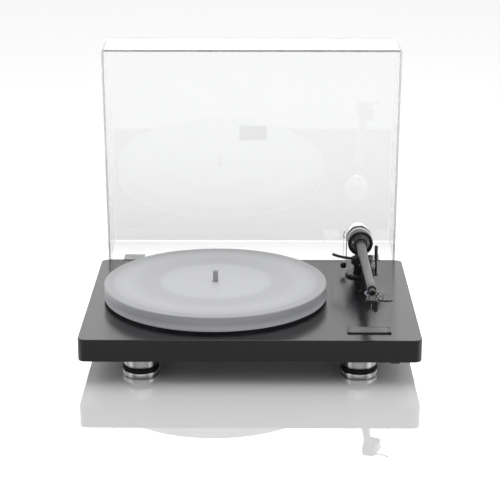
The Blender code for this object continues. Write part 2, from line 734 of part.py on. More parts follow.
def make_terminals():
    middle = (PLINTH_BOTTOM + PLINTH_TOP) / 2
    plate_back = BACK - 0.002
    plate_front = plate_back - TERMINAL_PLATE_THICKNESS
    half_x, half_z = TERMINAL_SIZE[0] / 2 - SEAT_GAP, TERMINAL_SIZE[1] / 2 - SEAT_GAP
    plate = box(
        "terminal_plate", (TERMINAL_X - half_x, plate_front, middle - half_z),
        (TERMINAL_X + half_x, plate_back, middle + half_z), BLACK, 0.0004, 1,
    )
    along = {"rotation": (radians(-90), 0, 0)}
    places = [TERMINAL_X + TERMINAL_SPACING * (i - 1.5) for i in range(4)]
    shank = 0.0026
    for name, x in (
        ("ground_post", places[0]), ("rca_jack_left", places[1]), ("rca_jack_right", places[2]),
    ):
        at = {"location": (x, plate_back + SEAT_GAP, middle), **along}
        radius = GROUND_POST_RADIUS if name == "ground_post" else JACK_RADIUS
        hole = SEAT_GAP if name == "ground_post" else JACK_HOLE_RADIUS
        root = -(TERMINAL_PLATE_THICKNESS + 0.003)
        if name == "ground_post":
            profile = [
                (0, JACK_LENGTH), (radius - EDGE, JACK_LENGTH), (radius, JACK_LENGTH - EDGE),
                (radius, 0), (shank, 0), (shank, root), (0, root),
            ]
            turned(name, profile, STEEL, 14, **at)
        else:
            floor = 0.001
            profile = [
                (0, floor), (hole, floor), (hole, JACK_LENGTH), (radius - 0.0012, JACK_LENGTH),
                (radius - 0.0012, 0.003), (radius, 0.003), (radius, 0), (shank, 0), (shank, root),
                (0, root),
            ]
            turned(name, profile, GOLD, 14, **at)
        combine(
            plate,
            rod(
                f"cut_{name}", shank + SEAT_GAP, -0.006, 0.004, None, 14,
                location=(x, plate_back, middle), **along,
            ),
        )
    half = DC_SOCKET_SIZE / 2
    socket_x = places[3]
    socket = box(
        "dc_socket", (socket_x - half, plate_back - 0.012, middle - half),
        (socket_x + half, plate_back + 0.0006, middle + half), BLACK, 0.0004, 1,
    )
    combine(
        socket,
        rod(
            "cut_dc_hole", DC_SOCKET_HOLE_RADIUS, -0.0085, 0.003, None, 16,
            location=(socket_x, plate_back, middle), **along,
        ),
    )
    combine(
        plate,
        box(
            "cut_dc_socket",
            (socket_x - half - SEAT_GAP, plate_front - 0.002, middle - half - SEAT_GAP),
            (socket_x + half + SEAT_GAP, plate_back + 0.002, middle + half + SEAT_GAP), None,
        ),
    )
    board_low = middle - TERMINAL_SIZE[1] / 2 + SEAT_GAP
    box("control_board", (TERMINAL_X - half_x + 0.004, BACK - TERMINAL_POCKET_DEPTH + 0.001, board_low),
        (TERMINAL_X + half_x - 0.004, plate_front - 0.0055, board_low + BOARD_THICKNESS), BOARD_GREEN)


# ------------------------------------------ dust cover and hinges, drawn closed, then opened

def make_cover():
    hinge = empty("cover_hinge", (0, HINGE_Y, HINGE_Z), (-COVER_OPEN, 0, 0), DECK)
    back = COVER_BACK - HINGE_Y
    rim = COVER_RIM - HINGE_Z
    bm = bmesh.new()
    bmesh.ops.create_cube(bm, size=1)
    bmesh.ops.scale(bm, vec=(COVER_WIDTH, COVER_DEPTH, COVER_HEIGHT), verts=bm.verts)
    bmesh.ops.translate(bm, vec=(0, back - COVER_DEPTH / 2, rim + COVER_HEIGHT / 2), verts=bm.verts)
    bmesh.ops.delete(
        bm, geom=[min(bm.faces, key=lambda f: f.calc_center_median().z)], context="FACES_ONLY",
    )
    middle_y = back - COVER_DEPTH / 2
    for vert in bm.verts:
        if vert.co.z > rim + COVER_HEIGHT / 2:
            vert.co.x -= COVER_DRAFT if vert.co.x > 0 else -COVER_DRAFT
            vert.co.y -= COVER_DRAFT if vert.co.y > middle_y else -COVER_DRAFT
    kept = [e for e in bm.edges if not e.is_boundary]
    bmesh.ops.bevel(bm, geom=kept, offset=COVER_CORNER, segments=3, profile=0.5, affect="EDGES")
    cover = place("dust_cover", mesh_from("dust_cover", bm), CLEAR, parent=hinge)
    wall = cover.modifiers.new("wall", "SOLIDIFY")
    wall.thickness = COVER_WALL
    wall.offset = -1
    for side, name in ((-1, "left"), (1, "right")):
        make_hinge(side * HINGE_X, name, hinge, back)


def make_hinge(x, name, hinge, cover_back):
    half = HINGE_WIDTH / 2
    knuckle_half = half - HINGE_EAR - RUN_GAP
    floor_low = -HINGE_KNUCKLE_RADIUS - HINGE_FLOOR - SEAT_GAP
    fixed = empty(f"hinge_seat_{name}", (x, HINGE_Y, HINGE_Z), parent=DECK)
    front = HINGE_INSET - HINGE_NOTCH_DEPTH + SEAT_GAP
    base = box(
        f"hinge_base_{name}", (-half, front, floor_low - 0.001),
        (half, HINGE_INSET - 0.0004, HINGE_KNUCKLE_RADIUS), HINGE_PALE, 0.0004, 1, parent=fixed,
    )
    knuckle_room = box(
        f"cut_knuckle_{name}", (-half + HINGE_EAR, -0.02, -HINGE_KNUCKLE_RADIUS - SEAT_GAP),
        (half - HINGE_EAR, 0.02, 0.02), None, parent=fixed,
    )
    combine(base, knuckle_room)
    across = {"rotation": (0, radians(90), 0), "parent": fixed}
    combine(
        base,
        rod(
            f"cut_pin_{name}", HINGE_PIN_RADIUS + SEAT_GAP, -half - 0.002, half + 0.002, None, 12,
            **across,
        ),
    )
    rod(f"hinge_pin_{name}", HINGE_PIN_RADIUS, -half + 0.0006, half - 0.0006, STEEL, 12, **across)
    leaf_front = cover_back + SEAT_GAP
    step = HINGE_DEPTH + 2 * RUN_GAP
    leaf = box(
        f"hinge_leaf_{name}", (x - half, leaf_front, step),
        (x + half, leaf_front + HINGE_LEAF_THICKNESS, HINGE_LEAF_HEIGHT), HINGE_PALE, 0.0004, 1,
        parent=hinge,
    )
    combine(
        leaf,
        box(
            f"join_step_{name}", (x - knuckle_half, leaf_front + 0.0005, step),
            (x + knuckle_half, 0, step + 0.003), None, parent=hinge,
        ),
        "UNION",
    )
    combine(
        leaf,
        box(
            f"join_web_{name}", (x - knuckle_half, -HINGE_KNUCKLE_RADIUS, 0),
            (x + knuckle_half, -0.0004, step + 0.0025), None, parent=hinge,
        ),
        "UNION",
    )
    turned_across = {"location": (x, 0, 0), "rotation": (0, radians(90), 0), "parent": hinge}
    combine(
        leaf,
        rod(
            f"join_knuckle_{name}", HINGE_KNUCKLE_RADIUS, -knuckle_half, knuckle_half, None, 20,
            **turned_across,
        ),
        "UNION",
    )
    combine(
        leaf,
        rod(f"cut_leaf_pin_{name}", HINGE_PIN_RADIUS + RUN_GAP, -half, half, None, 12, **turned_across),
    )


# ---------------------------------------------------------------- tonearm

def make_arm_base():
    where = {"location": (ARM_X, ARM_Y, 0)}
    low = PLINTH_TOP + SEAT_GAP
    top = low + ARM_BASE_THICKNESS
    bore = YOKE_SHAFT_RADIUS + RUN_GAP
    turned(
        "arm_base",
        [
            (bore, top), (ARM_BASE_RADIUS - EDGE, top), (ARM_BASE_RADIUS, top - EDGE),
            (ARM_BASE_RADIUS, low), (ARM_STEM_RADIUS, low), (ARM_STEM_RADIUS, PLINTH_BOTTOM + 0.001),
            (bore, PLINTH_BOTTOM + 0.001),
        ],
        BLACK, 24, closed=True, **where,
    )
    sleeve(
        "arm_pillar", bore, PILLAR_RADIUS, top + SEAT_GAP, PLINTH_TOP + PILLAR_HEIGHT, BLACK, 20,
        **where,
    )
    collar_low = PLINTH_TOP + COLLAR_LIFT
    collar = sleeve(
        "arm_collar", PILLAR_RADIUS + SEAT_GAP, COLLAR_RADIUS, collar_low, collar_low + COLLAR_HEIGHT,
        BLACK, 20, **where,
    )
    reach = Vector((LIFT_X - ARM_X, LIFT_Y - ARM_Y))
    turn = atan2(reach.y, reach.x)
    arm = box(
        "join_lift_arm", (PILLAR_RADIUS + 0.0015, -0.0035, 0),
        (reach.length, 0.0035, COLLAR_HEIGHT - 0.003), None,
        location=(ARM_X, ARM_Y, collar_low + 0.0015), rotation=(0, 0, turn),
    )
    boss = rod(
        "join_lift_boss", LIFT_COLUMN_RADIUS + 0.0025, collar_low + 0.0007,
        collar_low + COLLAR_HEIGHT - 0.0007, None, 24, location=(LIFT_X, LIFT_Y, 0),
    )
    combine(collar, arm, "UNION")
    combine(collar, boss, "UNION")
    combine(
        collar,
        rod(
            "cut_lift_boss", LIFT_COLUMN_RADIUS + SEAT_GAP, PLINTH_TOP, PLINTH_TOP + 0.03, None, 24,
            location=(LIFT_X, LIFT_Y, 0),
        ),
    )


def make_yoke(arm):
    """The ring that carries the tilt pivots, with its upright shaft and the anti-skate stud."""
    along = {"rotation": (radians(90), 0, 0), "parent": arm}
    half = RING_THICKNESS / 2
    ring = sleeve(
        "bearing_ring", RING_RADIUS - RING_WALL, RING_RADIUS, -half, half, BLACK, 28, edge=0.0008,
        **along,
    )
    shaft_low = PLINTH_TOP + 0.006 - ARM_AXIS
    pillar_top = PLINTH_TOP + PILLAR_HEIGHT - ARM_AXIS
    combine(
        ring,
        rod(
            "join_yoke_shaft", YOKE_SHAFT_RADIUS, shaft_low, -RING_RADIUS + 0.003, None, 24, parent=arm,
        ),
        "UNION",
    )
    combine(
        ring,
        rod(
            "join_yoke_neck", PILLAR_RADIUS - 0.0015, pillar_top + RUN_GAP, -RING_RADIUS + 0.0020, None,
            28, parent=arm,
        ),
        "UNION",
    )
    stud_height = HOOK_HEIGHT - ARM_HEIGHT
    combine(
        ring,
        rod(
            "join_skate_stud", SKATE_STUD_RADIUS, -half - SKATE_STUD_LENGTH, 0, None, 12,
            location=(SKATE_STUD_X, 0, stud_height), rotation=(radians(90), 0, 0), parent=arm,
        ),
        "UNION",
    )
    for side, name in ((-1, "left"), (1, "right")):
        pin_hole = PIVOT_PIN_RADIUS + SEAT_GAP
        reach = (GIMBAL_RADIUS - 0.002, RING_RADIUS + 0.001)
        across = {"rotation": (0, radians(90) * side, 0), "parent": arm}
        combine(
            ring, rod(f"cut_ring_pin_{name}", pin_hole, reach[0], reach[1] + 0.002, None, 16, **across),
        )
        rod(f"pivot_pin_{name}", PIVOT_PIN_RADIUS, reach[0] + RUN_GAP, reach[1], STEEL, 16, **across)


def make_arm(arm):
    along = {"rotation": (radians(90), 0, 0), "parent": arm}
    half = GIMBAL_LENGTH / 2
    gimbal = rod("gimbal_block", GIMBAL_RADIUS, -half, half, GRAPHITE, 24, edge=EDGE, **along)
    combine(
        gimbal,
        rod(
            "cut_pivot_holes", PIVOT_PIN_RADIUS + RUN_GAP, -GIMBAL_RADIUS - 0.001,
            GIMBAL_RADIUS + 0.001, None, 16, rotation=(0, radians(90), 0), parent=arm,
        ),
    )
    tube_low = half + SEAT_GAP
    collar = TUBE_END - TUBE_COLLAR_LENGTH
    turned(
        "arm_tube",
        [
            (0, TUBE_END), (TUBE_FRONT_RADIUS, TUBE_END), (TUBE_FRONT_RADIUS + 0.0004, TUBE_END - EDGE),
            (TUBE_FRONT_RADIUS + 0.0004, collar), (TUBE_FRONT_RADIUS, collar - 0.0003),
            (TUBE_REAR_RADIUS, tube_low + 0.010), (TUBE_REAR_RADIUS + 0.0006, tube_low + 0.009),
            (TUBE_REAR_RADIUS + 0.0006, tube_low), (0, tube_low),
        ],
        GRAPHITE, 24, **along,
    )
    rod(
        "counterweight_stub", STUB_RADIUS, -half - SEAT_GAP - STUB_LENGTH, -half - SEAT_GAP, STEEL, 20,
        edge=EDGE, **along,
    )
    sleeve_outer = STUB_RADIUS + SEAT_GAP + WEIGHT_SLEEVE_WALL
    front, back = -WEIGHT_START, -WEIGHT_START - WEIGHT_LENGTH
    sleeve(
        "counterweight_sleeve", STUB_RADIUS + SEAT_GAP, sleeve_outer, back + 0.001, front - 0.001,
        RUBBER, 16, **along,
    )
    groove = 0.0008
    turned(
        "counterweight",
        [
            (sleeve_outer + SEAT_GAP, front), (WEIGHT_RADIUS - 0.0015, front),
            (WEIGHT_RADIUS, front - 0.0015), (WEIGHT_RADIUS, front - 0.006),
            (WEIGHT_RADIUS - groove, front - 0.0064), (WEIGHT_RADIUS - groove, front - 0.0074),
            (WEIGHT_RADIUS, front - 0.0078), (WEIGHT_RADIUS, back + 0.0015),
            (WEIGHT_RADIUS - 0.0015, back), (sleeve_outer + SEAT_GAP, back),
        ],
        CHROME, 28, closed=True, **along,
    )


def make_head(arm):
    """Headshell, cartridge, stylus and finger lift, in a frame on the stylus at the offset angle."""
    head = empty("head_frame", (0, -ARM_LENGTH, -ARM_HEIGHT), (0, 0, -HEAD_ANGLE), arm)
    half = HEAD_WIDTH / 2
    plate_low = HEAD_TOP - HEAD_THICKNESS
    shell = box(
        "headshell", (-half, -HEAD_FRONT, plate_low), (half, HEAD_BACK, HEAD_TOP), GRAPHITE, 0.0010, 2,
        parent=head,
    )
    for side in (-1, 1):
        x = side * HEAD_SLOT_SPACING / 2
        combine(
            shell,
            box(
                f"cut_head_slot_{side}", (x - HEAD_SLOT_WIDTH / 2, HEAD_SLOT_ENDS[0], plate_low - 0.002),
                (x + HEAD_SLOT_WIDTH / 2, HEAD_SLOT_ENDS[1], HEAD_TOP + 0.002), None, parent=head,
            ),
        )
    neck = rod(
        "join_neck", HEAD_NECK_RADIUS, TUBE_END + SEAT_GAP, ARM_LENGTH - CARTRIDGE_BACK - 0.0005, None, 20,
        rotation=(radians(90), 0, 0), parent=arm,
    )
    combine(shell, neck, "UNION")
    cartridge_top = plate_low - SEAT_GAP
    cartridge_low = cartridge_top - CARTRIDGE_HEIGHT
    wide = CARTRIDGE_WIDTH / 2
    body = box(
        "cartridge_body", (-wide, -HEAD_FRONT + 0.0005, cartridge_low),
        (wide, CARTRIDGE_BACK, cartridge_top), BLACK, 0.0012, 2, parent=head,
    )
    combine(
        body,
        box(
            "cut_stylus_seat",
            (-STYLUS_HALF_WIDTH - SEAT_GAP, -HEAD_FRONT - 0.002, cartridge_low - 0.002),
            (STYLUS_HALF_WIDTH + SEAT_GAP, STYLUS_BACK + SEAT_GAP, cartridge_low + 0.0035), None,
            parent=head,
        ),
    )
    stylus = box(
        "stylus_unit", (-STYLUS_HALF_WIDTH, -HEAD_FRONT + 0.0015, cartridge_low - 0.0005),
        (STYLUS_HALF_WIDTH, STYLUS_BACK, cartridge_low + 0.0032), BLACK, 0.0005, 1, parent=head,
    )
    tip = cartridge_low - STYLUS_REACH
    root = cartridge_low + 0.001
    cone = turned(
        "join_stylus_tip", [(0, root), (0.0009, root), (0.00025, tip), (0, tip)], None, 10, parent=head,
    )
    combine(stylus, cone, "UNION")
    finger_height = HEAD_TOP - HEAD_THICKNESS / 2
    wire(
        "finger_lift",
        [
            (half + SEAT_GAP, FINGER_Y, finger_height), (half + 0.006, FINGER_Y, finger_height),
            (half + 0.012, FINGER_Y, finger_height + 0.0008),
            (FINGER_REACH, FINGER_Y, finger_height + 0.0020),
        ],
        FINGER_RADIUS, BLACK, parent=head,
    )


def make_lift():
    low = PLINTH_TOP + SEAT_GAP
    column_top = PLINTH_TOP + LIFT_COLUMN_HEIGHT
    bore = LIFT_ROD_RADIUS + RUN_GAP
    bore_floor = low + LIFT_BORE_FLOOR
    rod_low = bore_floor + LIFT_DROP + LIFT_BORE_SPARE
    turned(
        "lift_column",
        [
            (0, bore_floor), (bore, bore_floor), (bore, column_top),
            (LIFT_COLUMN_RADIUS - EDGE, column_top), (LIFT_COLUMN_RADIUS, column_top - EDGE),
            (LIFT_COLUMN_RADIUS, low), (0, low),
        ],
        BLACK, 16, location=(LIFT_X, LIFT_Y, 0),
    )
    radius = hypot(LIFT_X - ARM_X, LIFT_Y - ARM_Y)
    start = atan2(ARM_X - LIFT_X, ARM_Y - LIFT_Y)
    bar_height = ARM_AXIS - tube_radius(radius) - LIFT_BAR_GAP - LIFT_BAR_RADIUS
    bar = wire(
        "lift_bar", [(x, y, bar_height) for x, y in arc(ARM_X, ARM_Y, radius, start, LIFT_BAR_END, 12)],
        LIFT_BAR_RADIUS, BLACK,
    )
    cap_top = bar_height + LIFT_CAP_RISE
    combine(
        bar,
        rod(
            "join_lift_cap", LIFT_CAP_RADIUS, cap_top - LIFT_CAP_HEIGHT, cap_top, None, 24, edge=EDGE,
            location=(LIFT_X, LIFT_Y, 0),
        ),
        "UNION",
    )
    combine(
        bar,
        rod(
            "join_lift_rod", LIFT_ROD_RADIUS, rod_low, cap_top - LIFT_CAP_HEIGHT + 0.002, None, 16,
            location=(LIFT_X, LIFT_Y, 0),
        ),
        "UNION",
    )


def make_cue_lever():
    pivot = empty(
        "cue_lever_pivot", (LIFT_X, LIFT_Y, PLINTH_TOP + LEVER_AXLE_HEIGHT), (-LEVER_LEAN, 0, 0), DECK,
    )
    axle_low = LIFT_COLUMN_RADIUS + SEAT_GAP
    lever = rod(
        "cue_lever", LEVER_GRIP_RADIUS, LEVER_LENGTH - LEVER_GRIP_LENGTH, LEVER_LENGTH, BLACK, 16,
        edge=EDGE, location=(LEVER_OFFSET, 0, 0), parent=pivot,
    )
    combine(
        lever,
        rod(
            "join_lever_rod", LEVER_ROD_RADIUS, -0.0008, LEVER_LENGTH - LEVER_GRIP_LENGTH + 0.002, None,
            12, location=(LEVER_OFFSET, 0, 0), parent=pivot,
        ),
        "UNION",
    )
    combine(
        lever,
        rod(
            "join_lever_axle", LEVER_AXLE_RADIUS, axle_low, LEVER_OFFSET + 0.0028, None, 12,
            rotation=(0, radians(90), 0), parent=pivot,
        ),
        "UNION",
    )


def make_rest():
    parked = tube_radius(REST_DISTANCE)
    x = ARM_X + REST_DISTANCE * sin(ARM_REST_ANGLE)
    y = ARM_Y - REST_DISTANCE * cos(ARM_REST_ANGLE)
    shelf = ARM_AXIS - parked - REST_DROP
    wall = parked + 0.0006
    rest = box(
        "arm_rest", (-parked - 0.001, -REST_LENGTH / 2, shelf - 0.004),
        (wall + REST_WALL, REST_LENGTH / 2, shelf), BLACK, 0.0006, 1, location=(x, y, 0),
    )
    combine(
        rest,
        box(
            "join_rest_wall", (wall, -REST_LENGTH / 2 + 0.0003, shelf - 0.003),
            (wall + REST_WALL - 0.0003, REST_LENGTH / 2 - 0.0003, ARM_AXIS + 0.002), None, 0.0004, 1,
            location=(x, y, 0),
        ),
        "UNION",
    )
    combine(
        rest,
        rod(
            "join_rest_post", REST_POST_RADIUS, PLINTH_TOP + SEAT_GAP, shelf - 0.002, None, 20,
            location=(x, y, 0),
        ),
        "UNION",
    )
    combine(
        rest,
        rod(
            "join_rest_foot", REST_POST_RADIUS + 0.004, PLINTH_TOP + SEAT_GAP, PLINTH_TOP + 0.0025,
            None, 24, location=(x, y, 0),
        ),
        "UNION",
    )


def make_anti_skate():
    collar_height = PLINTH_TOP + COLLAR_LIFT + COLLAR_HEIGHT / 2
    hook = PLINTH_TOP + HOOK_HEIGHT
    top = PLINTH_TOP + HOOK_TOP
    post_x, post_y = HOOK_X + HOOK_POST[0], HOOK_Y + HOOK_POST[1]
    bend = 0.0015
    wire(
        "anti_skate_hook",
        [
            (ARM_X + x, ARM_Y + y, z)
            for x, y, z in (
                (-COLLAR_RADIUS - SEAT_GAP, 0, collar_height), (post_x + bend, post_y, collar_height),
                (post_x, post_y, collar_height + bend), (post_x, post_y, top - bend),
                (post_x - bend / 2, post_y + bend, top - bend / 4),
                (HOOK_X + bend / 2, HOOK_Y - bend, top - bend / 2),
                (HOOK_X - bend / 2, HOOK_Y, top - 2 * bend), (HOOK_X - bend / 2, HOOK_Y, hook + bend),
                (HOOK_X - bend / 4, HOOK_Y, hook), (HOOK_X + bend / 2, HOOK_Y, hook),
            )
        ],
        HOOK_WIRE_RADIUS, STEEL, 1,
    )
    low = PLINTH_TOP + SKATE_WEIGHT_BOTTOM
    rod("anti_skate_weight", SKATE_WEIGHT_RADIUS, low, low + SKATE_WEIGHT_HEIGHT, BLACK, 24, edge=EDGE,
        location=(ARM_X + HOOK_X - 0.0004, ARM_Y + HOOK_Y, 0))


def make_badge():
    low = PLINTH_TOP + SEAT_GAP
    half_x, half_y = BADGE_SIZE[0] / 2, BADGE_SIZE[1] / 2
    box(
        "badge_plate", (BADGE_X - half_x, BADGE_Y - half_y, low),
        (BADGE_X + half_x, BADGE_Y + half_y, low + BADGE_SIZE[2]), CHARCOAL, 0.0003, 1,
    )


make_plinth()
make_feet()
make_bearing()
make_platter()
make_drive()
make_switch()
make_terminals()
make_cover()
make_arm_base()
ARM = empty("arm_pivot", (ARM_X, ARM_Y, ARM_AXIS), (0, 0, ARM_REST_ANGLE), DECK)
make_yoke(ARM)
make_arm(ARM)
make_head(ARM)
make_lift()
make_cue_lever()
make_rest()
make_anti_skate()
make_badge()
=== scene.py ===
"""Finished looks of a belt-driven record player: frosted platter, gimbal tonearm and clear dust cover.

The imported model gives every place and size. Each operator below makes one piece or a group of like pieces
in metres, and the panel lists them in the order in which the player is put together.
"""

import json
import math

import bmesh
import bpy
from mathutils import Matrix, Vector


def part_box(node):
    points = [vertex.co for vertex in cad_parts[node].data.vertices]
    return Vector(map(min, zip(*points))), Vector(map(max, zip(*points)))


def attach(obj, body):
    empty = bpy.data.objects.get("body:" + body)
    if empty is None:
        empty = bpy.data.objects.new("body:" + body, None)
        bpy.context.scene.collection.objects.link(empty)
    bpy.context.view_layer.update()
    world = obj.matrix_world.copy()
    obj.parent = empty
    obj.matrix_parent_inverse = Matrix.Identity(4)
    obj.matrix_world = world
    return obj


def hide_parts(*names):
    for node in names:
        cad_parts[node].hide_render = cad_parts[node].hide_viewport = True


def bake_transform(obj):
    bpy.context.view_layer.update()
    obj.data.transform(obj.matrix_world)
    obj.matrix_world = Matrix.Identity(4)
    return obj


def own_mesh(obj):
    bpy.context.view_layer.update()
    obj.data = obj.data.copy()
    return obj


bl_info = {
    "name": "Record Player",
    "version": (1, 0, 0),
    "blender": (4, 5, 0),
    "location": "View3D > Sidebar > Record Player",
    "description": "Builds the finished pieces, materials and studio of a record player",
    "category": "Object",
}

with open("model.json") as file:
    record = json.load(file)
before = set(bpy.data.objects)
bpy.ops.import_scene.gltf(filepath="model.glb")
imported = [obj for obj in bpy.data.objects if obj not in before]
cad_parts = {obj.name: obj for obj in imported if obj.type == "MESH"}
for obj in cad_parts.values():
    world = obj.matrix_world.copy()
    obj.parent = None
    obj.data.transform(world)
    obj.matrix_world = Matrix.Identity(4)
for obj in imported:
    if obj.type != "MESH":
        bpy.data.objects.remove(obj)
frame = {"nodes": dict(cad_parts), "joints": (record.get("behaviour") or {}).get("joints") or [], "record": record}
NODES = frame["nodes"]
JOINTS = {joint["name"]: joint for joint in frame["joints"]}
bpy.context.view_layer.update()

PLINTH_LOW, PLINTH_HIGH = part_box("plinth")
PLATTER_LOW, PLATTER_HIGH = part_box("platter")
DECK_TOP = PLINTH_HIGH.z
DECK_MIDDLE = (PLINTH_LOW + PLINTH_HIGH) / 2
ARM_PIVOT = Vector(JOINTS["arm_swing"]["pos_m"])
TILT_AXIS = Vector(JOINTS["arm_tilt"]["axis"])
PARKED = math.atan2(-TILT_AXIS.y, -TILT_AXIS.x)
SEAT_GAP = 0.0003  # between pieces that touch
BELT_RECESS = 0.0045  # depth of the belt's path under the platter
HOLE_SPACING = 0.0127  # of the headshell's screws
HEAD_TOP = -0.0005  # from the tube's axis
HEAD_THICK = 0.0030
HEAD_HALF = 0.00825
CARTRIDGE_HIGH = HEAD_TOP - HEAD_THICK - SEAT_GAP
CARTRIDGE_LOW = CARTRIDGE_HIGH - 0.0125


# ---------------------------------------------------------------- sizes and colours a user would change


class RecordPlayerStudio(bpy.types.PropertyGroup):
    """Camera and light."""

    camera_offset: bpy.props.FloatVectorProperty(
        name="Camera place", description="From the middle of the plinth's top", size=3,
        default=(0.01615, -2.08191, 0.70629), subtype="XYZ", unit="LENGTH",
    )
    camera_pitch: bpy.props.FloatProperty(
        name="Camera pitch", description="Downward tilt", default=0.29808, subtype="ANGLE",
    )
    camera_yaw: bpy.props.FloatProperty(
        name="Camera yaw", description="Turn to the left", default=0.00825, subtype="ANGLE",
    )
    lens: bpy.props.FloatProperty(name="Lens", description="Focal length in millimetres", default=116.78)
    room_light: bpy.props.FloatProperty(
        name="Room light", description="Brightness of the room", default=1.16,
    )
    front_shade: bpy.props.FloatProperty(
        name="Front shade", description="Brightness of the room in front of the player", default=0.36,
    )
    back_light: bpy.props.FloatProperty(
        name="Back light", description="Extra brightness of the wall behind the player", default=1.55,
    )
    side_panels: bpy.props.FloatProperty(
        name="Side panels", description="Extra brightness of two upright panels in front", default=1.5,
    )
    floor_gloss: bpy.props.FloatProperty(
        name="Floor gloss", description="Share of mirror reflection in the floor", default=0.43,
        subtype="FACTOR",
    )


class RecordPlayerFinishes(bpy.types.PropertyGroup):
    """Colours of the main finishes."""

    lacquer: bpy.props.FloatVectorProperty(
        name="Lacquer", description="Plinth lacquer", size=3, default=(0.0050, 0.0053, 0.0064),
        subtype="COLOR",
    )
    black: bpy.props.FloatVectorProperty(
        name="Black metal", description="Black anodised parts", size=3, default=(0.0045, 0.0045, 0.0050),
        subtype="COLOR",
    )
    graphite: bpy.props.FloatVectorProperty(
        name="Graphite", description="Arm tube", size=3, default=(0.050, 0.050, 0.053), subtype="COLOR",
    )
    acrylic: bpy.props.FloatVectorProperty(
        name="Acrylic", description="Frosted platter", size=3, default=(0.645, 0.65, 0.67), subtype="COLOR",
    )
    cover_tint: bpy.props.FloatVectorProperty(
        name="Cover tint", description="Clear dust cover", size=3, default=(0.975, 0.978, 0.982),
        subtype="COLOR",
    )


class RecordPlayerSizes(bpy.types.PropertyGroup):
    """Sizes of the finer pieces."""

    platter_edge: bpy.props.FloatProperty(
        name="Platter edge", description="Rounding of the platter's rims", default=0.0012, unit="LENGTH",
    )
    cover_size: bpy.props.FloatVectorProperty(
        name="Cover size", description="Closed cover: width, depth and height", size=3,
        default=(0.417, 0.3183, 0.072), subtype="XYZ", unit="LENGTH",
    )
    cover_wall: bpy.props.FloatProperty(
        name="Cover wall", description="Thickness of the cover", default=0.003, unit="LENGTH",
    )
    cover_corner: bpy.props.FloatProperty(
        name="Cover corner", description="Rounding of the cover's corners", default=0.0045, unit="LENGTH",
    )
    cover_draft: bpy.props.FloatProperty(
        name="Cover draft", description="How far each wall leans in", default=0.0015, unit="LENGTH",
    )
    cover_back: bpy.props.FloatProperty(
        name="Cover back", description="Closed cover's back wall, in front of the hinge", default=0.0045,
        unit="LENGTH",
    )
    cover_rim: bpy.props.FloatProperty(
        name="Cover rim", description="Closed cover's rim, above the hinge", default=0.0110, unit="LENGTH",
    )
    arm_length: bpy.props.FloatProperty(
        name="Arm length", description="Pivot to stylus", default=0.240, unit="LENGTH",
    )
    head_angle: bpy.props.FloatProperty(
        name="Head angle", description="Offset of the headshell", default=math.radians(23.5),
        subtype="ANGLE",
    )
    thread: bpy.props.FloatProperty(
        name="Thread", description="Radius of the anti-skate thread", default=0.00022, unit="LENGTH",
    )


def studio():
    return bpy.context.scene.record_player_studio


def finishes():
    return bpy.context.scene.record_player_finishes


def sizes():
    return bpy.context.scene.record_player_sizes


# ---------------------------------------------------------------- shader maths


class Signal:
    """A shader socket that stands in a formula: each operation adds one Math node."""

    def __init__(self, tree, socket):
        self.tree, self.socket = tree, socket

    def math(self, operation, *terms):
        node = self.tree.nodes.new("ShaderNodeMath")
        node.operation = operation
        for slot, term in zip(node.inputs, terms):
            if isinstance(term, Signal):
                self.tree.links.new(term.socket, slot)
            else:
                slot.default_value = term
        return Signal(self.tree, node.outputs[0])

    def __add__(self, other):
        return self.math("ADD", self, other)

    __radd__ = __add__

    def __sub__(self, other):
        return self.math("SUBTRACT", self, other)

    def __rsub__(self, other):
        return self.math("SUBTRACT", other, self)

    def __mul__(self, other):
        return self.math("MULTIPLY", self, other)

    __rmul__ = __mul__

    def __truediv__(self, other):
        return self.math("DIVIDE", self, other)

    def __pow__(self, other):
        return self.math("POWER", self, other)

    def sine(self):
        return self.math("SINE", self)

    def clipped(self):
        """Held between 0 and 1."""
        return self.math("MINIMUM", self.math("MAXIMUM", self, 0.0), 1.0)

    def step(self, edge, soft):
        """0 below the edge and 1 above it, over a soft width."""
        return ((self - (edge - soft / 2)) / soft).clipped()


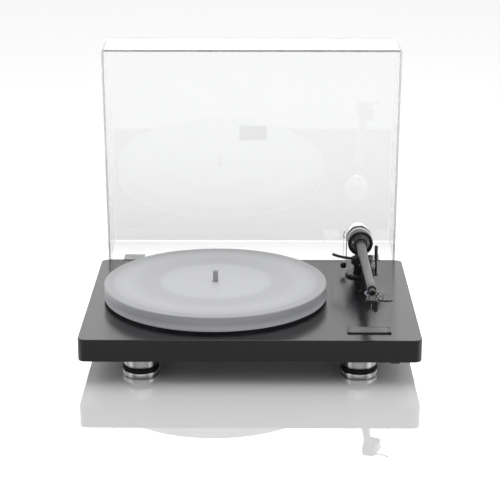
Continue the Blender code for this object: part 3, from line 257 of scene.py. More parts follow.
class Recipe:
    """A material under construction round one Principled shader."""

    def __init__(self, name, **fixed):
        self.material = bpy.data.materials.new(name)
        self.material.use_nodes = True
        self.tree = self.material.node_tree
        self.shader = self.tree.nodes["Principled BSDF"]
        self.end = self.tree.nodes["Material Output"]
        for socket, value in fixed.items():
            self.set(socket.replace("_", " ").title().replace("Ior", "IOR"), value)

    def set(self, socket, value):
        """Gives one of the shader's sockets a value, a colour or a link."""
        slot = self.shader.inputs[socket]
        if isinstance(value, Signal):
            self.tree.links.new(value.socket, slot)
        elif hasattr(value, "__len__"):
            slot.default_value = (*value[:3], 1.0) if len(slot.default_value) == 4 else value
        else:
            slot.default_value = value

    def add(self, kind, settings=None, sockets=None, out=0):
        """Any other node: its type, its settings, and the values or links of its sockets."""
        node = self.tree.nodes.new(kind)
        for name, value in (settings or {}).items():
            if name == "stops":
                ramp = node.color_ramp
                while len(ramp.elements) < len(value):
                    ramp.elements.new(1.0)
                for element, (place, colour) in zip(ramp.elements, value):
                    element.position, element.color = place, colour
            else:
                setattr(node, name, value)
        for name, value in (sockets or {}).items():
            slot = node.inputs[name]
            if isinstance(value, Signal):
                self.tree.links.new(value.socket, slot)
            elif hasattr(value, "__len__") and len(slot.default_value) == 4:
                slot.default_value = (*value[:3], 1.0)
            else:
                slot.default_value = value
        return Signal(self.tree, node.outputs[out])

    def point(self, centre=(0, 0, 0), turn=(0, 0, 0), stretch=(1, 1, 1)):
        """Object coordinates, moved to a centre, turned and stretched."""
        place = self.add("ShaderNodeTexCoord", out=3)
        moved = self.add("ShaderNodeVectorMath", {"operation": "SUBTRACT"}, {0: place, 1: tuple(centre)})
        return self.add("ShaderNodeMapping", None, {"Vector": moved, "Rotation": turn, "Scale": stretch})

    def parts(self, vector):
        node = self.tree.nodes.new("ShaderNodeSeparateXYZ")
        self.tree.links.new(vector.socket, node.inputs[0])
        return [Signal(self.tree, output) for output in node.outputs]

    def grain(self, vector, scale, detail=3.0, rough=0.55):
        """Noise between 0 and 1."""
        return self.add(
            "ShaderNodeTexNoise", None,
            {"Vector": vector, "Scale": scale, "Detail": detail, "Roughness": rough},
        )

    def tint(self, mask, dark, light):
        """A colour between two others."""
        return self.add("ShaderNodeMix", {"data_type": "RGBA"}, {0: mask, 6: dark, 7: light}, out=2)

    def relief(self, height, strength, distance):
        self.set("Normal", self.add(
            "ShaderNodeBump", None, {"Height": height, "Strength": strength, "Distance": distance},
        ))
        return self.material


def shades(colour, spread):
    """A darker and a lighter neighbour of a colour."""
    return tuple(c * (1 - spread) for c in colour), tuple(min(1.0, c * (1 + spread)) for c in colour)


def lacquered(name="satin charcoal lacquer"):
    """Sprayed satin lacquer: a fine orange peel under a soft sheen, with faint handling marks."""
    made = Recipe(name, specular_ior_level=0.30)
    point = made.point()
    cloud = made.grain(point, 9.0, 3.0)
    peel = made.grain(point, 950.0, 2.0)
    marks = made.grain(made.point(stretch=(1, 0.12, 1)), 160.0, 4.0, 0.7)
    dark, light = shades(finishes().lacquer, 0.10)
    made.set("Base Color", made.tint(cloud, dark, light))
    made.set("Roughness", 0.21 + cloud * 0.03 + marks.step(0.62, 0.2) * 0.03)
    return made.relief(peel, 0.02, 0.0003)


def anodised(name="black anodised metal", colour=None, rough=0.36, bead=2600.0, gloss=0.34):
    """Bead-blasted and anodised metal."""
    made = Recipe(name, specular_ior_level=gloss)
    point = made.point()
    blast = made.grain(point, bead, 2.0)
    cloud = made.grain(point, 60.0)
    dark, light = shades(colour or finishes().black, 0.18)
    made.set("Base Color", made.tint(cloud, dark, light))
    made.set("Roughness", rough - 0.04 + cloud * 0.08)
    return made.relief(blast, 0.12, 0.0001)


def graphite_tube(name="graphite tube"):
    """Grey anodised tube with fine marks drawn along it."""
    made = Recipe(name, metallic=0.35, specular_ior_level=0.6)
    drawn = made.grain(made.point(stretch=(60, 1, 60)), 90.0, 4.0)
    dark, light = shades(finishes().graphite, 0.14)
    made.set("Base Color", made.tint(drawn, dark, light))
    made.set("Roughness", 0.28 + drawn * 0.10)
    return made.relief(drawn, 0.05, 0.0001)


def turned_metal(name, colour, rough, centre, along="z", pitch=0.00045, depth=0.5):
    """Lathe-turned metal: shallow rings a fraction of a millimetre apart."""
    made = Recipe(name, metallic=1.0)
    point = made.point(centre)
    x, y, z = made.parts(point)
    reach = {"x": x, "y": y, "z": z}[along]
    flat = ((x * x + y * y) ** 0.5) if along == "z" else reach
    rings = (reach * (2 * math.pi / pitch)).sine() + (flat * (2 * math.pi / pitch)).sine()
    chatter = made.grain(made.point(centre, stretch=(1, 1, 90)), 60.0, 3.0)
    dark, light = shades(colour, 0.06)
    made.set("Base Color", made.tint(chatter, dark, light))
    made.set("Roughness", rough + chatter * 0.10)
    return made.relief(rings * 0.5 + chatter, depth, 0.00006)


def polished(name="polished chrome", colour=(0.86, 0.86, 0.87), rough=0.06):
    """Plated metal with the faint haze of polishing."""
    made = Recipe(name, metallic=1.0)
    haze = made.grain(made.point(), 240.0, 4.0)
    dark, light = shades(colour, 0.03)
    made.set("Base Color", made.tint(haze, dark, light))
    made.set("Roughness", rough + haze * 0.05)
    return made.relief(haze, 0.03, 0.0001)


def moulded(name, colour, rough=0.42, texture=1500.0, depth=0.18, gloss=0.5):
    """Moulded plastic with a fine spark texture."""
    made = Recipe(name, specular_ior_level=gloss)
    point = made.point()
    spark = made.grain(point, texture, 2.0)
    cloud = made.grain(point, 40.0)
    dark, light = shades(colour, 0.08)
    made.set("Base Color", made.tint(cloud, dark, light))
    made.set("Roughness", rough - 0.03 + cloud * 0.06)
    return made.relief(spark, depth, 0.0001)


def rubbery(name="rubber", colour=(0.014, 0.014, 0.015)):
    """Matt elastomer with a dusty bloom."""
    made = Recipe(name, specular_ior_level=0.22)
    point = made.point()
    bloom = made.grain(point, 300.0, 5.0, 0.7)
    dark, light = shades(colour, 0.25)
    made.set("Base Color", made.tint(bloom, dark, light))
    made.set("Roughness", 0.50 + bloom * 0.18)
    return made.relief(bloom, 0.15, 0.0001)


def frosted(name, centre, radius):
    """Sandblasted acrylic: rough glass with a milky body, with painted light in its colour: a lighter disc where
    the carrier below would show through, a painted refraction ring, a painted shaded band and a painted highlight
    ring near the rim, and the side wall painted lighter towards its foot.
    """
    made = Recipe(name, ior=1.49, transmission_weight=0.45, specular_ior_level=0.5)
    x, y, z = made.parts(made.point(centre))
    reach = (x * x + y * y) ** 0.5
    low, high = PLATTER_LOW.z - centre[2], PLATTER_HIGH.z - centre[2]
    blast = made.grain(made.point(centre), 2400.0, 2.0)
    cloud = made.grain(made.point(centre), 14.0)
    # painted light: lighter in the middle, where the carrier below would show through the acrylic
    carrier = 1.0 - reach.step(radius * 0.495, radius * 0.055)
    # painted light: a brighter ring standing in for light refracted through the acrylic
    painted_refraction_ring = reach.step(radius * 0.70, radius * 0.12) * (1.0 - reach.step(radius * 0.85, radius * 0.07))
    # painted shade: a darker band towards the rim, with a painted highlight ring just inside it
    rim = reach.step(radius * 0.875, radius * 0.035)
    painted_highlight_ring = rim * (1.0 - reach.step(radius * 0.91, radius * 0.03))
    # painted shade and light on the side wall: darker near the top, lighter towards its foot
    wall = reach.step(radius - 0.0016, 0.0008)
    foot = wall * (1.0 - z.step(low * 0.45 + high * 0.55 - 0.004, 0.006))
    body = 0.76 + carrier * 0.13 + painted_refraction_ring * 0.09 - rim * 0.12 + painted_highlight_ring * 0.14 + cloud * 0.03
    edge = 0.56 + foot * 0.44
    light = finishes().acrylic
    level = (body * (1.0 - wall) + edge * wall).clipped()
    made.set("Base Color", made.tint(level, (0.0, 0.0, 0.0), light))
    made.set("Roughness", 0.38 + cloud * 0.05)
    return made.relief(blast, 0.10, 0.0001)


def clear_acrylic(name="clear acrylic", hinge=None, turn=0.0, rim=0.0, depth=1.0):
    """Clear polished acrylic with faint hairlines, satin where it was sawn, at the rim; on the cover, painted
    shade makes it darker towards the hinge.
    """
    made = Recipe(name, ior=1.49, transmission_weight=1.0)
    hairs = made.grain(made.point(stretch=(1, 1, 0.05)), 420.0, 4.0, 0.7).step(0.74, 0.06)
    tint = finishes().cover_tint
    clear, dusty_and_shaded = tuple(tint), tuple(c * 0.70 for c in tint)
    if hinge is None:
        made.set("Base Color", made.tint(hairs * 0.1, clear, dusty_and_shaded))
        made.set("Roughness", 0.006 + hairs * 0.03)
        return made.material
    _, y, z = made.parts(made.point(hinge, turn=(-turn, 0, 0)))
    # painted shade: the cover's colour darkens towards the hinge, its lower end when open
    film = (y / depth + 1.0).clipped() ** 1.6
    sawn = 1.0 - z.step(rim + 0.0004, 0.0004)
    made.set("Base Color", made.tint((film + hairs * 0.05).clipped(), clear, dusty_and_shaded))
    made.set("Roughness", 0.006 + hairs * 0.03 + sawn * 0.45)
    return made.material


def circuit_board(name="circuit board"):
    """Green laminate with broad copper runs under the mask."""
    made = Recipe(name, roughness=0.45)
    runs = made.add(
        "ShaderNodeTexBrick", {"offset": 0.5},
        {"Vector": made.point(), "Scale": 260.0, "Mortar Size": 0.08}, out=1,
    )
    made.set("Base Color", made.tint(runs, (0.015, 0.11, 0.045), (0.05, 0.24, 0.10)))
    return made.relief(runs, 0.2, 0.0001)


# ---------------------------------------------------------------- modelling helpers


def fresh():
    """Leaves nothing selected, and Blender in object mode."""
    if bpy.context.mode != "OBJECT":
        bpy.ops.object.mode_set(mode="OBJECT")
    bpy.ops.object.select_all(action="DESELECT")


def named(name):
    made = bpy.context.active_object
    made.name = made.data.name = name
    return made


def settle(obj, matrix=None):
    """Puts the object's place in its mesh, so that the object sits at the origin."""
    fresh()
    obj.select_set(True)
    bpy.context.view_layer.objects.active = obj
    if matrix is not None:
        obj.matrix_world = matrix @ obj.matrix_world
    bpy.ops.object.transform_apply(location=True, rotation=True, scale=True)
    return obj


def turned(name, profile, matrix=None, steps=96):
    """One vertex drawn along a profile of (radius, height) points and spun round the height axis."""
    fresh()
    bpy.ops.mesh.primitive_plane_add(size=0.002)
    obj = named(name)
    bpy.ops.object.mode_set(mode="EDIT")
    bpy.ops.mesh.merge(type="CENTER")
    bpy.ops.mesh.select_all(action="SELECT")
    radius, height = profile[0]
    bpy.ops.transform.translate(value=(radius, 0, height))
    for (r0, z0), (r1, z1) in zip(profile, profile[1:]):
        bpy.ops.mesh.extrude_vertices_move(TRANSFORM_OT_translate={"value": (r1 - r0, 0, z1 - z0)})
    bpy.ops.mesh.select_all(action="SELECT")
    bpy.ops.mesh.spin(steps=steps, angle=2 * math.pi, center=(0, 0, 0), axis=(0, 0, 1))
    bpy.ops.mesh.select_all(action="SELECT")
    bpy.ops.mesh.remove_doubles(threshold=1e-6)
    bpy.ops.mesh.normals_make_consistent(inside=False)
    bpy.ops.object.mode_set(mode="OBJECT")
    return settle(obj, matrix)


def at(base, *points):
    """Part of a profile: each point's radius, and its height above a base, both in millimetres."""
    return [(radius / 1000, base + height / 1000) for radius, height in points]


def rounded(low, high, radius, edge, inner=0.0, steps=3):
    """The profile of a disc or ring with round edges, from its inner top to its inner bottom."""
    quarter = [i * math.pi / 2 / steps for i in range(steps + 1)]
    top = [(radius - edge + edge * math.sin(a), high - edge + edge * math.cos(a)) for a in quarter]
    bottom = [(radius - edge + edge * math.cos(a), low + edge - edge * math.sin(a)) for a in quarter]
    return [(inner, high), *top, *bottom, (inner, low)]


def ring(profile):
    """Closes a profile on itself, for a ring with a hole."""
    return [*profile, profile[0]]


def block(name, low, high, matrix=None):
    """A box between two corners."""
    fresh()
    low, high = Vector(low), Vector(high)
    bpy.ops.mesh.primitive_cube_add(size=1, location=(low + high) / 2, scale=high - low)
    return settle(named(name), matrix)


def choose(obj, test, kind="FACE"):
    """In edit mode, selects the faces or edges whose middle and direction pass a test."""
    bpy.context.view_layer.objects.active = obj
    bpy.ops.object.mode_set(mode="EDIT")
    bpy.ops.mesh.select_mode(type=kind)
    bpy.ops.mesh.select_all(action="DESELECT")
    mesh = bmesh.from_edit_mesh(obj.data)
    for item in mesh.faces if kind == "FACE" else mesh.edges:
        if kind == "FACE":
            middle, way = item.calc_center_median(), item.normal
        else:
            middle, way = (
                item.verts[0].co + item.verts[1].co
            ) / 2, (item.verts[1].co - item.verts[0].co).normalized()
        item.select = bool(test(middle, way))
    mesh.select_flush_mode()
    bmesh.update_edit_mesh(obj.data)


def soften(obj, width, segments=2, angle=30):
    """Rounds every edge sharper than an angle."""
    fresh()
    obj.select_set(True)
    bpy.context.view_layer.objects.active = obj
    step = obj.modifiers.new("rounding", "BEVEL")
    step.width, step.segments = width, segments
    step.limit_method, step.angle_limit = "ANGLE", math.radians(angle)
    step.use_clamp_overlap = True
    bpy.ops.object.modifier_apply(modifier=step.name)
    return obj


def cut(obj, tool, operation="DIFFERENCE"):
    """Applies one Boolean and removes its tool."""
    fresh()
    obj.select_set(True)
    bpy.context.view_layer.objects.active = obj
    step = obj.modifiers.new("boolean", "BOOLEAN")
    step.operation, step.object, step.solver = operation, tool, "EXACT"
    bpy.ops.object.modifier_apply(modifier=step.name)
    bpy.data.objects.remove(tool)
    return obj


def wired(name, points, radius, matrix=None, resolution=8, sides=4):
    """A smooth wire through points, as a closed mesh."""
    fresh()
    bpy.ops.curve.primitive_nurbs_path_add()
    line = named(name)
    spline = line.data.splines[0]
    if len(points) > len(spline.points):
        spline.points.add(len(points) - len(spline.points))
    elif len(points) < len(spline.points):
        line.data.splines.remove(spline)
        spline = line.data.splines.new("NURBS")
        spline.points.add(len(points) - 1)
    for knot, place in zip(spline.points, points):
        knot.co = (*place, 1)
    spline.order_u = min(4, len(points))
    spline.use_endpoint_u = True
    spline.resolution_u = resolution
    line.data.bevel_depth, line.data.bevel_resolution = radius, sides
    line.data.use_fill_caps = True
    line.select_set(True)
    bpy.context.view_layer.objects.active = line
    bpy.ops.object.convert(target="MESH")
    made = named(name)
    bpy.ops.object.mode_set(mode="EDIT")
    bpy.ops.mesh.select_all(action="SELECT")
    bpy.ops.mesh.remove_doubles(threshold=1e-7)
    bpy.ops.mesh.normals_make_consistent(inside=False)
    bpy.ops.object.mode_set(mode="OBJECT")
    return settle(made, matrix)


def twin(obj, name, matrix):
    """A copy with its own mesh, moved by a matrix."""
    fresh()
    made = obj.copy()
    made.data = obj.data.copy()
    made.name = made.data.name = name
    bpy.context.scene.collection.objects.link(made)
    for key in list(made.keys()):
        del made[key]
    made.parent = None
    return settle(made, matrix)


def dress(obj, material, body, nodes=(), angle=35):
    """Finishes a piece: its shading, its material, the body it rides on and the CAD nodes it stands for."""
    fresh()
    obj.select_set(True)
    bpy.context.view_layer.objects.active = obj
    bpy.ops.object.shade_smooth_by_angle(angle=math.radians(angle))
    obj.data.materials.clear()
    obj.data.materials.append(material)
    if nodes:
        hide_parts(*nodes)
    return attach(obj, body) if body else obj


def keep(material, *names):
    """Gives carried-over CAD nodes a material."""
    for name in names:
        NODES[name].data.materials.clear()
        NODES[name].data.materials.append(material)


def middle(node):
    low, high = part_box(node)
    return (low + high) / 2


def upright(x, y, z=0.0):
    return Matrix.Translation((x, y, z))


def arm_frame():
    """The parked arm's own frame: the tube runs along -Y."""
    return Matrix.Translation(ARM_PIVOT) @ Matrix.Rotation(PARKED, 4, "Z")


def along_arm():
    """A turned piece's height axis laid along the tube, towards the head."""
    return arm_frame() @ Matrix.Rotation(math.pi / 2, 4, "X")


def head_frame():
    """On the stylus, turned by the head's offset, at the height of the tube."""
    return arm_frame() @ upright(0, -sizes().arm_length) @ Matrix.Rotation(-sizes().head_angle, 4, "Z")


def screw(name, matrix, radius, height, slot_width=0.0008, sides=24):
    """A slotted cheese-head screw."""
    head = turned(name, rounded(0, height, radius, radius * 0.18), steps=sides)
    gap = block(
        name + "_slot", (-radius * 1.2, -slot_width / 2, height * 0.5),
        (radius * 1.2, slot_width / 2, height * 2),
    )
    return settle(cut(head, gap), matrix)


# ---------------------------------------------------------------- pieces


class PLAYER_OT_carried(bpy.types.Operator):
    """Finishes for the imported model's own nodes, by material slot"""

    bl_idname = "player.carried"
    bl_label = "Finish the packed nodes"

    def execute(self, context):
        bearing = middle("spindle")
        recipes = {
            "charcoal_lacquer": lacquered(),
            "black_metal": anodised(),
            "graphite_tube": graphite_tube("graphite fittings"),
            "turned_aluminium": turned_metal("turned aluminium", (0.78, 0.78, 0.79), 0.18, bearing),
            "chromed": polished(),
            "steel": turned_metal("ground steel", (0.60, 0.60, 0.62), 0.22, bearing, depth=0.25),
            "bearing_bronze": turned_metal("bearing bronze", (0.50, 0.32, 0.14), 0.30, bearing),
            "gold_plate": polished("gold plate", (0.83, 0.62, 0.27), 0.14),
            "black_plastic": moulded("black moulding", (0.014, 0.014, 0.015)),
            "hinge_pale": moulded("hinge moulding", (0.82, 0.83, 0.84), 0.35),
            "frosted_acrylic": frosted("frosted acrylic body", middle("platter"), 0.150),
            "pale_plastic": moulded("sub-platter moulding", (0.84, 0.85, 0.87), 0.5),
            "clear_acrylic": clear_acrylic("clear acrylic body"),
            "rubber": rubbery(),
            "board": circuit_board(),
        }
        for part in frame["record"]["subparts"]:
            keep(recipes[part["material_slot"]], part["node"])
        return {"FINISHED"}


class PLAYER_OT_platter(bpy.types.Operator):
    """Frosted platter and the record spindle"""

    bl_idname = "player.platter"
    bl_label = "Platter and spindle"

    def execute(self, context):
        low, high = PLATTER_LOW, PLATTER_HIGH
        centre = middle("platter")
        radius = (high.x - low.x) / 2
        edge = sizes().platter_edge
        spindle_low, spindle_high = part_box("spindle")
        sub_low, sub_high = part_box("sub_platter")
        sub_radius = (sub_high.x - sub_low.x) / 2
        hole = 0.0040
        rim = rounded(low.z, high.z, radius, edge, hole, 4)
        recess = sub_radius + 0.0189
        under = [
            (recess, low.z), (recess, low.z + BELT_RECESS), (sub_radius + SEAT_GAP, low.z + BELT_RECESS),
            (sub_radius + SEAT_GAP, sub_high.z + SEAT_GAP), (hole, sub_high.z + SEAT_GAP),
        ]
        disc = turned("platter_disc", ring(rim[:-1] + under), upright(centre.x, centre.y), 180)
        dress(disc, frosted("frosted platter", centre, radius), "platter", ("platter",))
        tip = spindle_high.z
        pin = turned(
            "record_spindle",
            [
                *at(
                    tip, (0, 0), (1, -0.04), (1.8, -0.3), (2.6, -0.8), (3.2, -1.5), (3.5, -2.2),
                    (3.7, -3.1),
                ),
                *at(high.z, (3.7, 2.2), (3.4, 2), (3.4, 1.4), (3.7, 1.2)),
                *at(spindle_low.z, (3.7, 30), (4.8, 29), (4.8, 0.6), (4.2, 0), (0, 0)),
            ],
            upright(centre.x, centre.y), 64,
        )
        dress(
            pin, turned_metal("spindle steel", (0.36, 0.36, 0.38), 0.04, centre, depth=0.15), "platter",
            ("spindle",),
        )
        return {"FINISHED"}


class PLAYER_OT_feet(bpy.types.Operator):
    """Four feet: turned base, grooved rubber damper and polished post"""

    bl_idname = "player.feet"
    bl_label = "Feet"

    def execute(self, context):
        name = "front_left"
        spot = middle(f"foot_base_{name}")
        damper_low, damper_high = (corner.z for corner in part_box(f"foot_damper_{name}"))
        base_high = damper_low - SEAT_GAP
        post_low, post_high = (corner.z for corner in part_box(f"foot_post_{name}"))
        base = turned(
            "foot_base",
            [
                *at(0, (0, 0.6), (15, 0.6), (16, 0), (22.8, 0), (23.3, 0.3), (23.5, 0.8)),
                *at(base_high, (23.5, -0.9), (23.2, -0.3), (22.7, 0), (6, 0), (0, 0)),
            ][::-1],
            upright(spot.x, spot.y), 96,
        )
        waist = (damper_low + damper_high) / 2
        bulge = [
            *at(damper_low, (21.8, 0), (23.1, 0.4), (23.9, 1.3), (24, 2)),
            *at(waist, (23.7, -0.6), (23, -0.2), (23, 0.2), (23.7, 0.6)),
            *at(damper_high, (23.9, -2), (23.5, -1), (22.6, -0.2), (21.6, 0)),
        ]
        damper = turned("foot_damper", ring([(0.0050, damper_high), *bulge[::-1], (0.0050, damper_low)]),
                        upright(spot.x, spot.y), 96)
        post = turned(
            "foot_post",
            [
                *at(post_high, (0, 0), (20.8, 0), (21.3, -0.3), (21.75, -0.9)),
                *at(
                    post_low, (21.75, 2.2), (21.4, 1.9), (21.4, 1.5), (21.75, 1.2), (21.65, 0.5), (21.1, 0),
                    (0, 0),
                ),
            ],
            upright(spot.x, spot.y), 96,
        )
        rubber = rubbery("damper rubber", (0.005, 0.005, 0.0055))
        for end in ("front", "rear"):
            for side in ("left", "right"):
                place = middle(f"foot_base_{end}_{side}")
                shift = upright(place.x - spot.x, place.y - spot.y)
                metal = turned_metal(
                    f"polished foot {end} {side}", (0.30, 0.30, 0.305), 0.13, place, depth=0.35,
                )
                for piece, kind, look, slot in (
                    (base, "base", metal, "turned_aluminium"),
                    (damper, "damper", rubber, "rubber"),
                    (post, "post", metal, "turned_aluminium"),
                ):
                    node = f"foot_{kind}_{end}_{side}"
                    made = twin(piece, f"{kind}_{end}_{side}", shift)
                    dress(made, look, "chassis", (node,))
        for piece in (base, damper, post):
            bpy.data.objects.remove(piece)
        return {"FINISHED"}


class PLAYER_OT_cover(bpy.types.Operator):
    """Clear dust cover, held open on its hinges, with a blank label"""

    bl_idname = "player.cover"
    bl_label = "Dust cover"

    def execute(self, context):
        hinge = JOINTS["cover_hinge"]
        axis = Vector(hinge["pos_m"])
        open_angle = math.radians(hinge["range_deg"][0])
        width, depth, height = sizes().cover_size
        draft, corner, wall = sizes().cover_draft, sizes().cover_corner, sizes().cover_wall
        back, rim = -sizes().cover_back, sizes().cover_rim
        centre = Vector((0, back - depth / 2, rim + height / 2))
        opened = Matrix.Translation(axis) @ Matrix.Rotation(open_angle, 4, "X")
        cover = block(
            "clear_cover", centre - Vector((width, depth, height)) / 2,
            centre + Vector((width, depth, height)) / 2,
        )
        choose(cover, lambda place, way: way.z < -0.5)
        bpy.ops.mesh.delete(type="ONLY_FACE")
        choose(cover, lambda place, way: way.z > 0.5)
        bpy.ops.transform.resize(
            value=((width - 2 * draft) / width, (depth - 2 * draft) / depth, 1),
            center_override=tuple(centre),
        )
        bottom = centre.z - height / 2
        choose(cover, lambda place, way: place.z > bottom + 1e-4, "EDGE")
        bpy.ops.mesh.bevel(offset=corner, segments=8, affect="EDGES")
        bpy.ops.object.mode_set(mode="OBJECT")
        shell = cover.modifiers.new("wall", "SOLIDIFY")
        shell.thickness, shell.offset, shell.use_even_offset = wall, -1, True
        fresh()
        cover.select_set(True)
        bpy.context.view_layer.objects.active = cover
        bpy.ops.object.modifier_apply(modifier=shell.name)
        choose(cover, lambda place, way: abs(place.z - bottom) < 1e-5 and abs(way.z) < 0.1, "EDGE")
        bpy.ops.mesh.bevel(offset=0.0005, segments=2, affect="EDGES")
        settle(cover, opened)
        look = clear_acrylic("clear cover", axis, open_angle, rim, depth)
        dress(cover, look, "cover", ("dust_cover",), angle=20)
        label_middle = Vector((0.0015, back - depth * 0.545, rim + height))
        label_half = Vector((0.020, 0.011, 0))
        label_low = label_middle - label_half + Vector((0, 0, 0.00002))
        label = block("blank_label", label_low, label_middle + label_half + Vector((0, 0, 0.0002)))
        choose(label, lambda place, way: way.z > 0.5)
        bpy.ops.mesh.inset(thickness=0.0008, depth=-0.00006)
        soften(label, 0.00005, 1)
        settle(label, opened)
        look = Recipe("label film", specular_ior_level=0.4)
        fibre = look.grain(look.point(), 900.0, 4.0)
        look.set("Base Color", look.tint(fibre, (0.50, 0.50, 0.51), (0.62, 0.62, 0.63)))
        look.set("Roughness", 0.45 + fibre * 0.1)
        look.set("Alpha", 0.07 + fibre * 0.03)
        dress(label, look.relief(fibre, 0.1, 0.00005), "cover")
        return {"FINISHED"}


class PLAYER_OT_badge(bpy.types.Operator):
    """Blank badge plate with an engraved border"""

    bl_idname = "player.badge"
    bl_label = "Badge"

    def execute(self, context):
        low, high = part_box("badge_plate")
        plate = block("blank_badge", low, high)
        soften(plate, 0.00025, 2)
        choose(plate, lambda place, way: way.z > 0.9 and place.z > high.z - 1e-5)
        bpy.ops.mesh.inset(thickness=0.0012)
        bpy.ops.mesh.inset(thickness=0.0005, depth=-0.0004)
        bpy.ops.mesh.inset(thickness=0.0002, depth=0.0002)
        bpy.ops.object.mode_set(mode="OBJECT")
        made = Recipe("badge lacquer", specular_ior_level=0.5, metallic=0.1)
        x = made.parts(made.point(middle("badge_plate")))[0]
        brushed = made.grain(made.point(stretch=(1, 60, 1)), 140.0, 4.0)
        inner = 1.0 - (x.math("ABSOLUTE", x)).step(0.0235, 0.0010)
        made.set(
            "Base Color",
            made.tint(inner * (0.5 + brushed * 0.5), (0.030, 0.030, 0.033), (0.085, 0.085, 0.09)),
        )
        made.set("Roughness", 0.34 + brushed * 0.12)
        dress(plate, made.relief(brushed, 0.10, 0.0001), "chassis", ("badge_plate",))
        return {"FINISHED"}


class PLAYER_OT_arm_base(bpy.types.Operator):
    """Arm base, pillar and the screws that hold them"""

    bl_idname = "player.arm_base"
    bl_label = "Arm base"

    def execute(self, context):
        black = anodised("arm base black")
        x, y = ARM_PIVOT.x, ARM_PIVOT.y
        low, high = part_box("arm_base")
        top = high.z
        flange = DECK_TOP + SEAT_GAP
        bore = 0.0052
        base = turned(
            "arm_base_flange",
            ring(
                [
                    (bore, top), *at(top, (19.2, 0), (20, -0.3), (20.5, -1)),
                    *at(flange, (20.5, 0), (8.5, 0)), (0.0085, low.z), (bore, low.z),
                ]
            ),
            upright(x, y), 96,
        )
        dress(base, black, "chassis", ("arm_base",))
        for i in range(3):
            angle = math.radians(100 + 120 * i)
            spot = (x + 0.0158 * math.cos(angle), y + 0.0158 * math.sin(angle), top + 0.0001)
            head = screw(
                f"base_screw_{i + 1}", Matrix.Translation(spot) @ Matrix.Rotation(angle, 4, "Z"), 0.0019,
                0.0011,
            )
            dress(head, polished(f"black screw {i + 1}", (0.20, 0.20, 0.21), 0.22), "chassis")
        p_low, p_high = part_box("arm_pillar")
        pillar = turned(
            "pillar_sleeve", ring(rounded(p_low.z, p_high.z, 0.0090, 0.0008, bore, 3)), upright(x, y), 72,
        )
        dress(pillar, black, "chassis", ("arm_pillar",))
        column = middle("lift_column")
        c_low, c_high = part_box("lift_column")
        tower = turned(
            "lift_tower",
            ring(
                [
                    *at(
                        c_high.z, (2.3, 0), (3.6, 0), (4.3, -0.3), (4.6, -0.9), (4.6, -3), (4.3, -3.3),
                        (4.3, -3.8), (4.6, -4.1),
                    ),
                    *at(c_low.z, (4.6, 0), (2.3, 0)),
                ]
            ),
            upright(column.x, column.y), 64,
        )
        dress(tower, black, "chassis", ("lift_column",))
        return {"FINISHED"}


class PLAYER_OT_bearing(bpy.types.Operator):
    """Bearing ring on its neck, with the anti-skate stud and the pivot screws"""

    bl_idname = "player.bearing"
    bl_label = "Bearing ring"

    def execute(self, context):
        black = anodised("bearing ring black", rough=0.30)
        outer, inner, half = 0.0175, 0.0132, 0.0040
        quarter = [i * math.pi / 6 for i in range(4)]
        lip = 0.0009
        profile = [(inner + lip * (1 - math.cos(a)), half - lip + lip * math.sin(a)) for a in quarter]
        profile += [(outer - lip + lip * math.sin(a), half - lip + lip * math.cos(a)) for a in quarter]
        profile += [(outer - lip + lip * math.cos(a), -half + lip - lip * math.sin(a)) for a in quarter]
        profile += [(inner + lip * (1 - math.sin(a)), -half + lip - lip * math.cos(a)) for a in quarter]
        hoop = turned("bearing_hoop", ring(profile), along_arm(), 128)
        dress(hoop, black, "arm_yoke", ("bearing_ring",))
        foot = -outer + 0.0022
        base = DECK_TOP + 0.0284 - ARM_PIVOT.z
        neck = turned(
            "bearing_neck",
            [
                *at(foot, (0, 0), (5.2, 0), (6, -0.6)),
                *at(base, (7.4, 1), (7.5, 0.4), (7.2, 0), (4.8, 0), (4.8, -21.5), (4.2, -22.1), (0, -22.1)),
            ],
            arm_frame(), 64,
        )
        dress(neck, black, "arm_yoke")
        stud_at = arm_frame() @ Matrix.Translation(
            (-0.014, 0.0042, 0.006)
        ) @ Matrix.Rotation(-math.pi / 2, 4, "X")
        stud = turned(
            "anti_skate_stud",
            at(
                0, (0, 5), (0.7, 5), (0.9, 4.8), (0.9, 4.2), (0.6, 4), (0.6, 3.4), (0.9, 3.2), (0.9, 2.2),
                (0.6, 2), (0.6, 1.4), (0.9, 1.2), (0.9, 0), (0, 0),
            ),
            stud_at, 24,
        )
        dress(stud, polished("stud steel", (0.55, 0.55, 0.57), 0.15), "arm_yoke")
        bright = polished("pivot steel", (0.80, 0.80, 0.81), 0.10)
        for side, name in ((-1, "left"), (1, "right")):
            place = arm_frame() @ Matrix.Rotation(side * math.pi / 2, 4, "Y")
            pin = turned(
                f"pivot_screw_{name}",
                [
                    *at(outer, (0, 0.4), (0.3, 0.4), (1, 0.9), (1.3, 0.6)),
                    *at(0, (1.3, 9.2), (0.6, 8), (0, 7.9)),
                ],
                place, 32,
            )
            dress(pin, bright, "arm_yoke", (f"pivot_pin_{name}",))
            nut = turned(
                f"pivot_nut_{name}",
                ring(at(0, (1.4, 13.1), (3, 13.1), (3.2, 12.8), (3.2, 11.9), (3, 11.6), (1.4, 11.6))),
                place, 6,
            )
            dress(nut, bright, "arm_yoke")
        return {"FINISHED"}


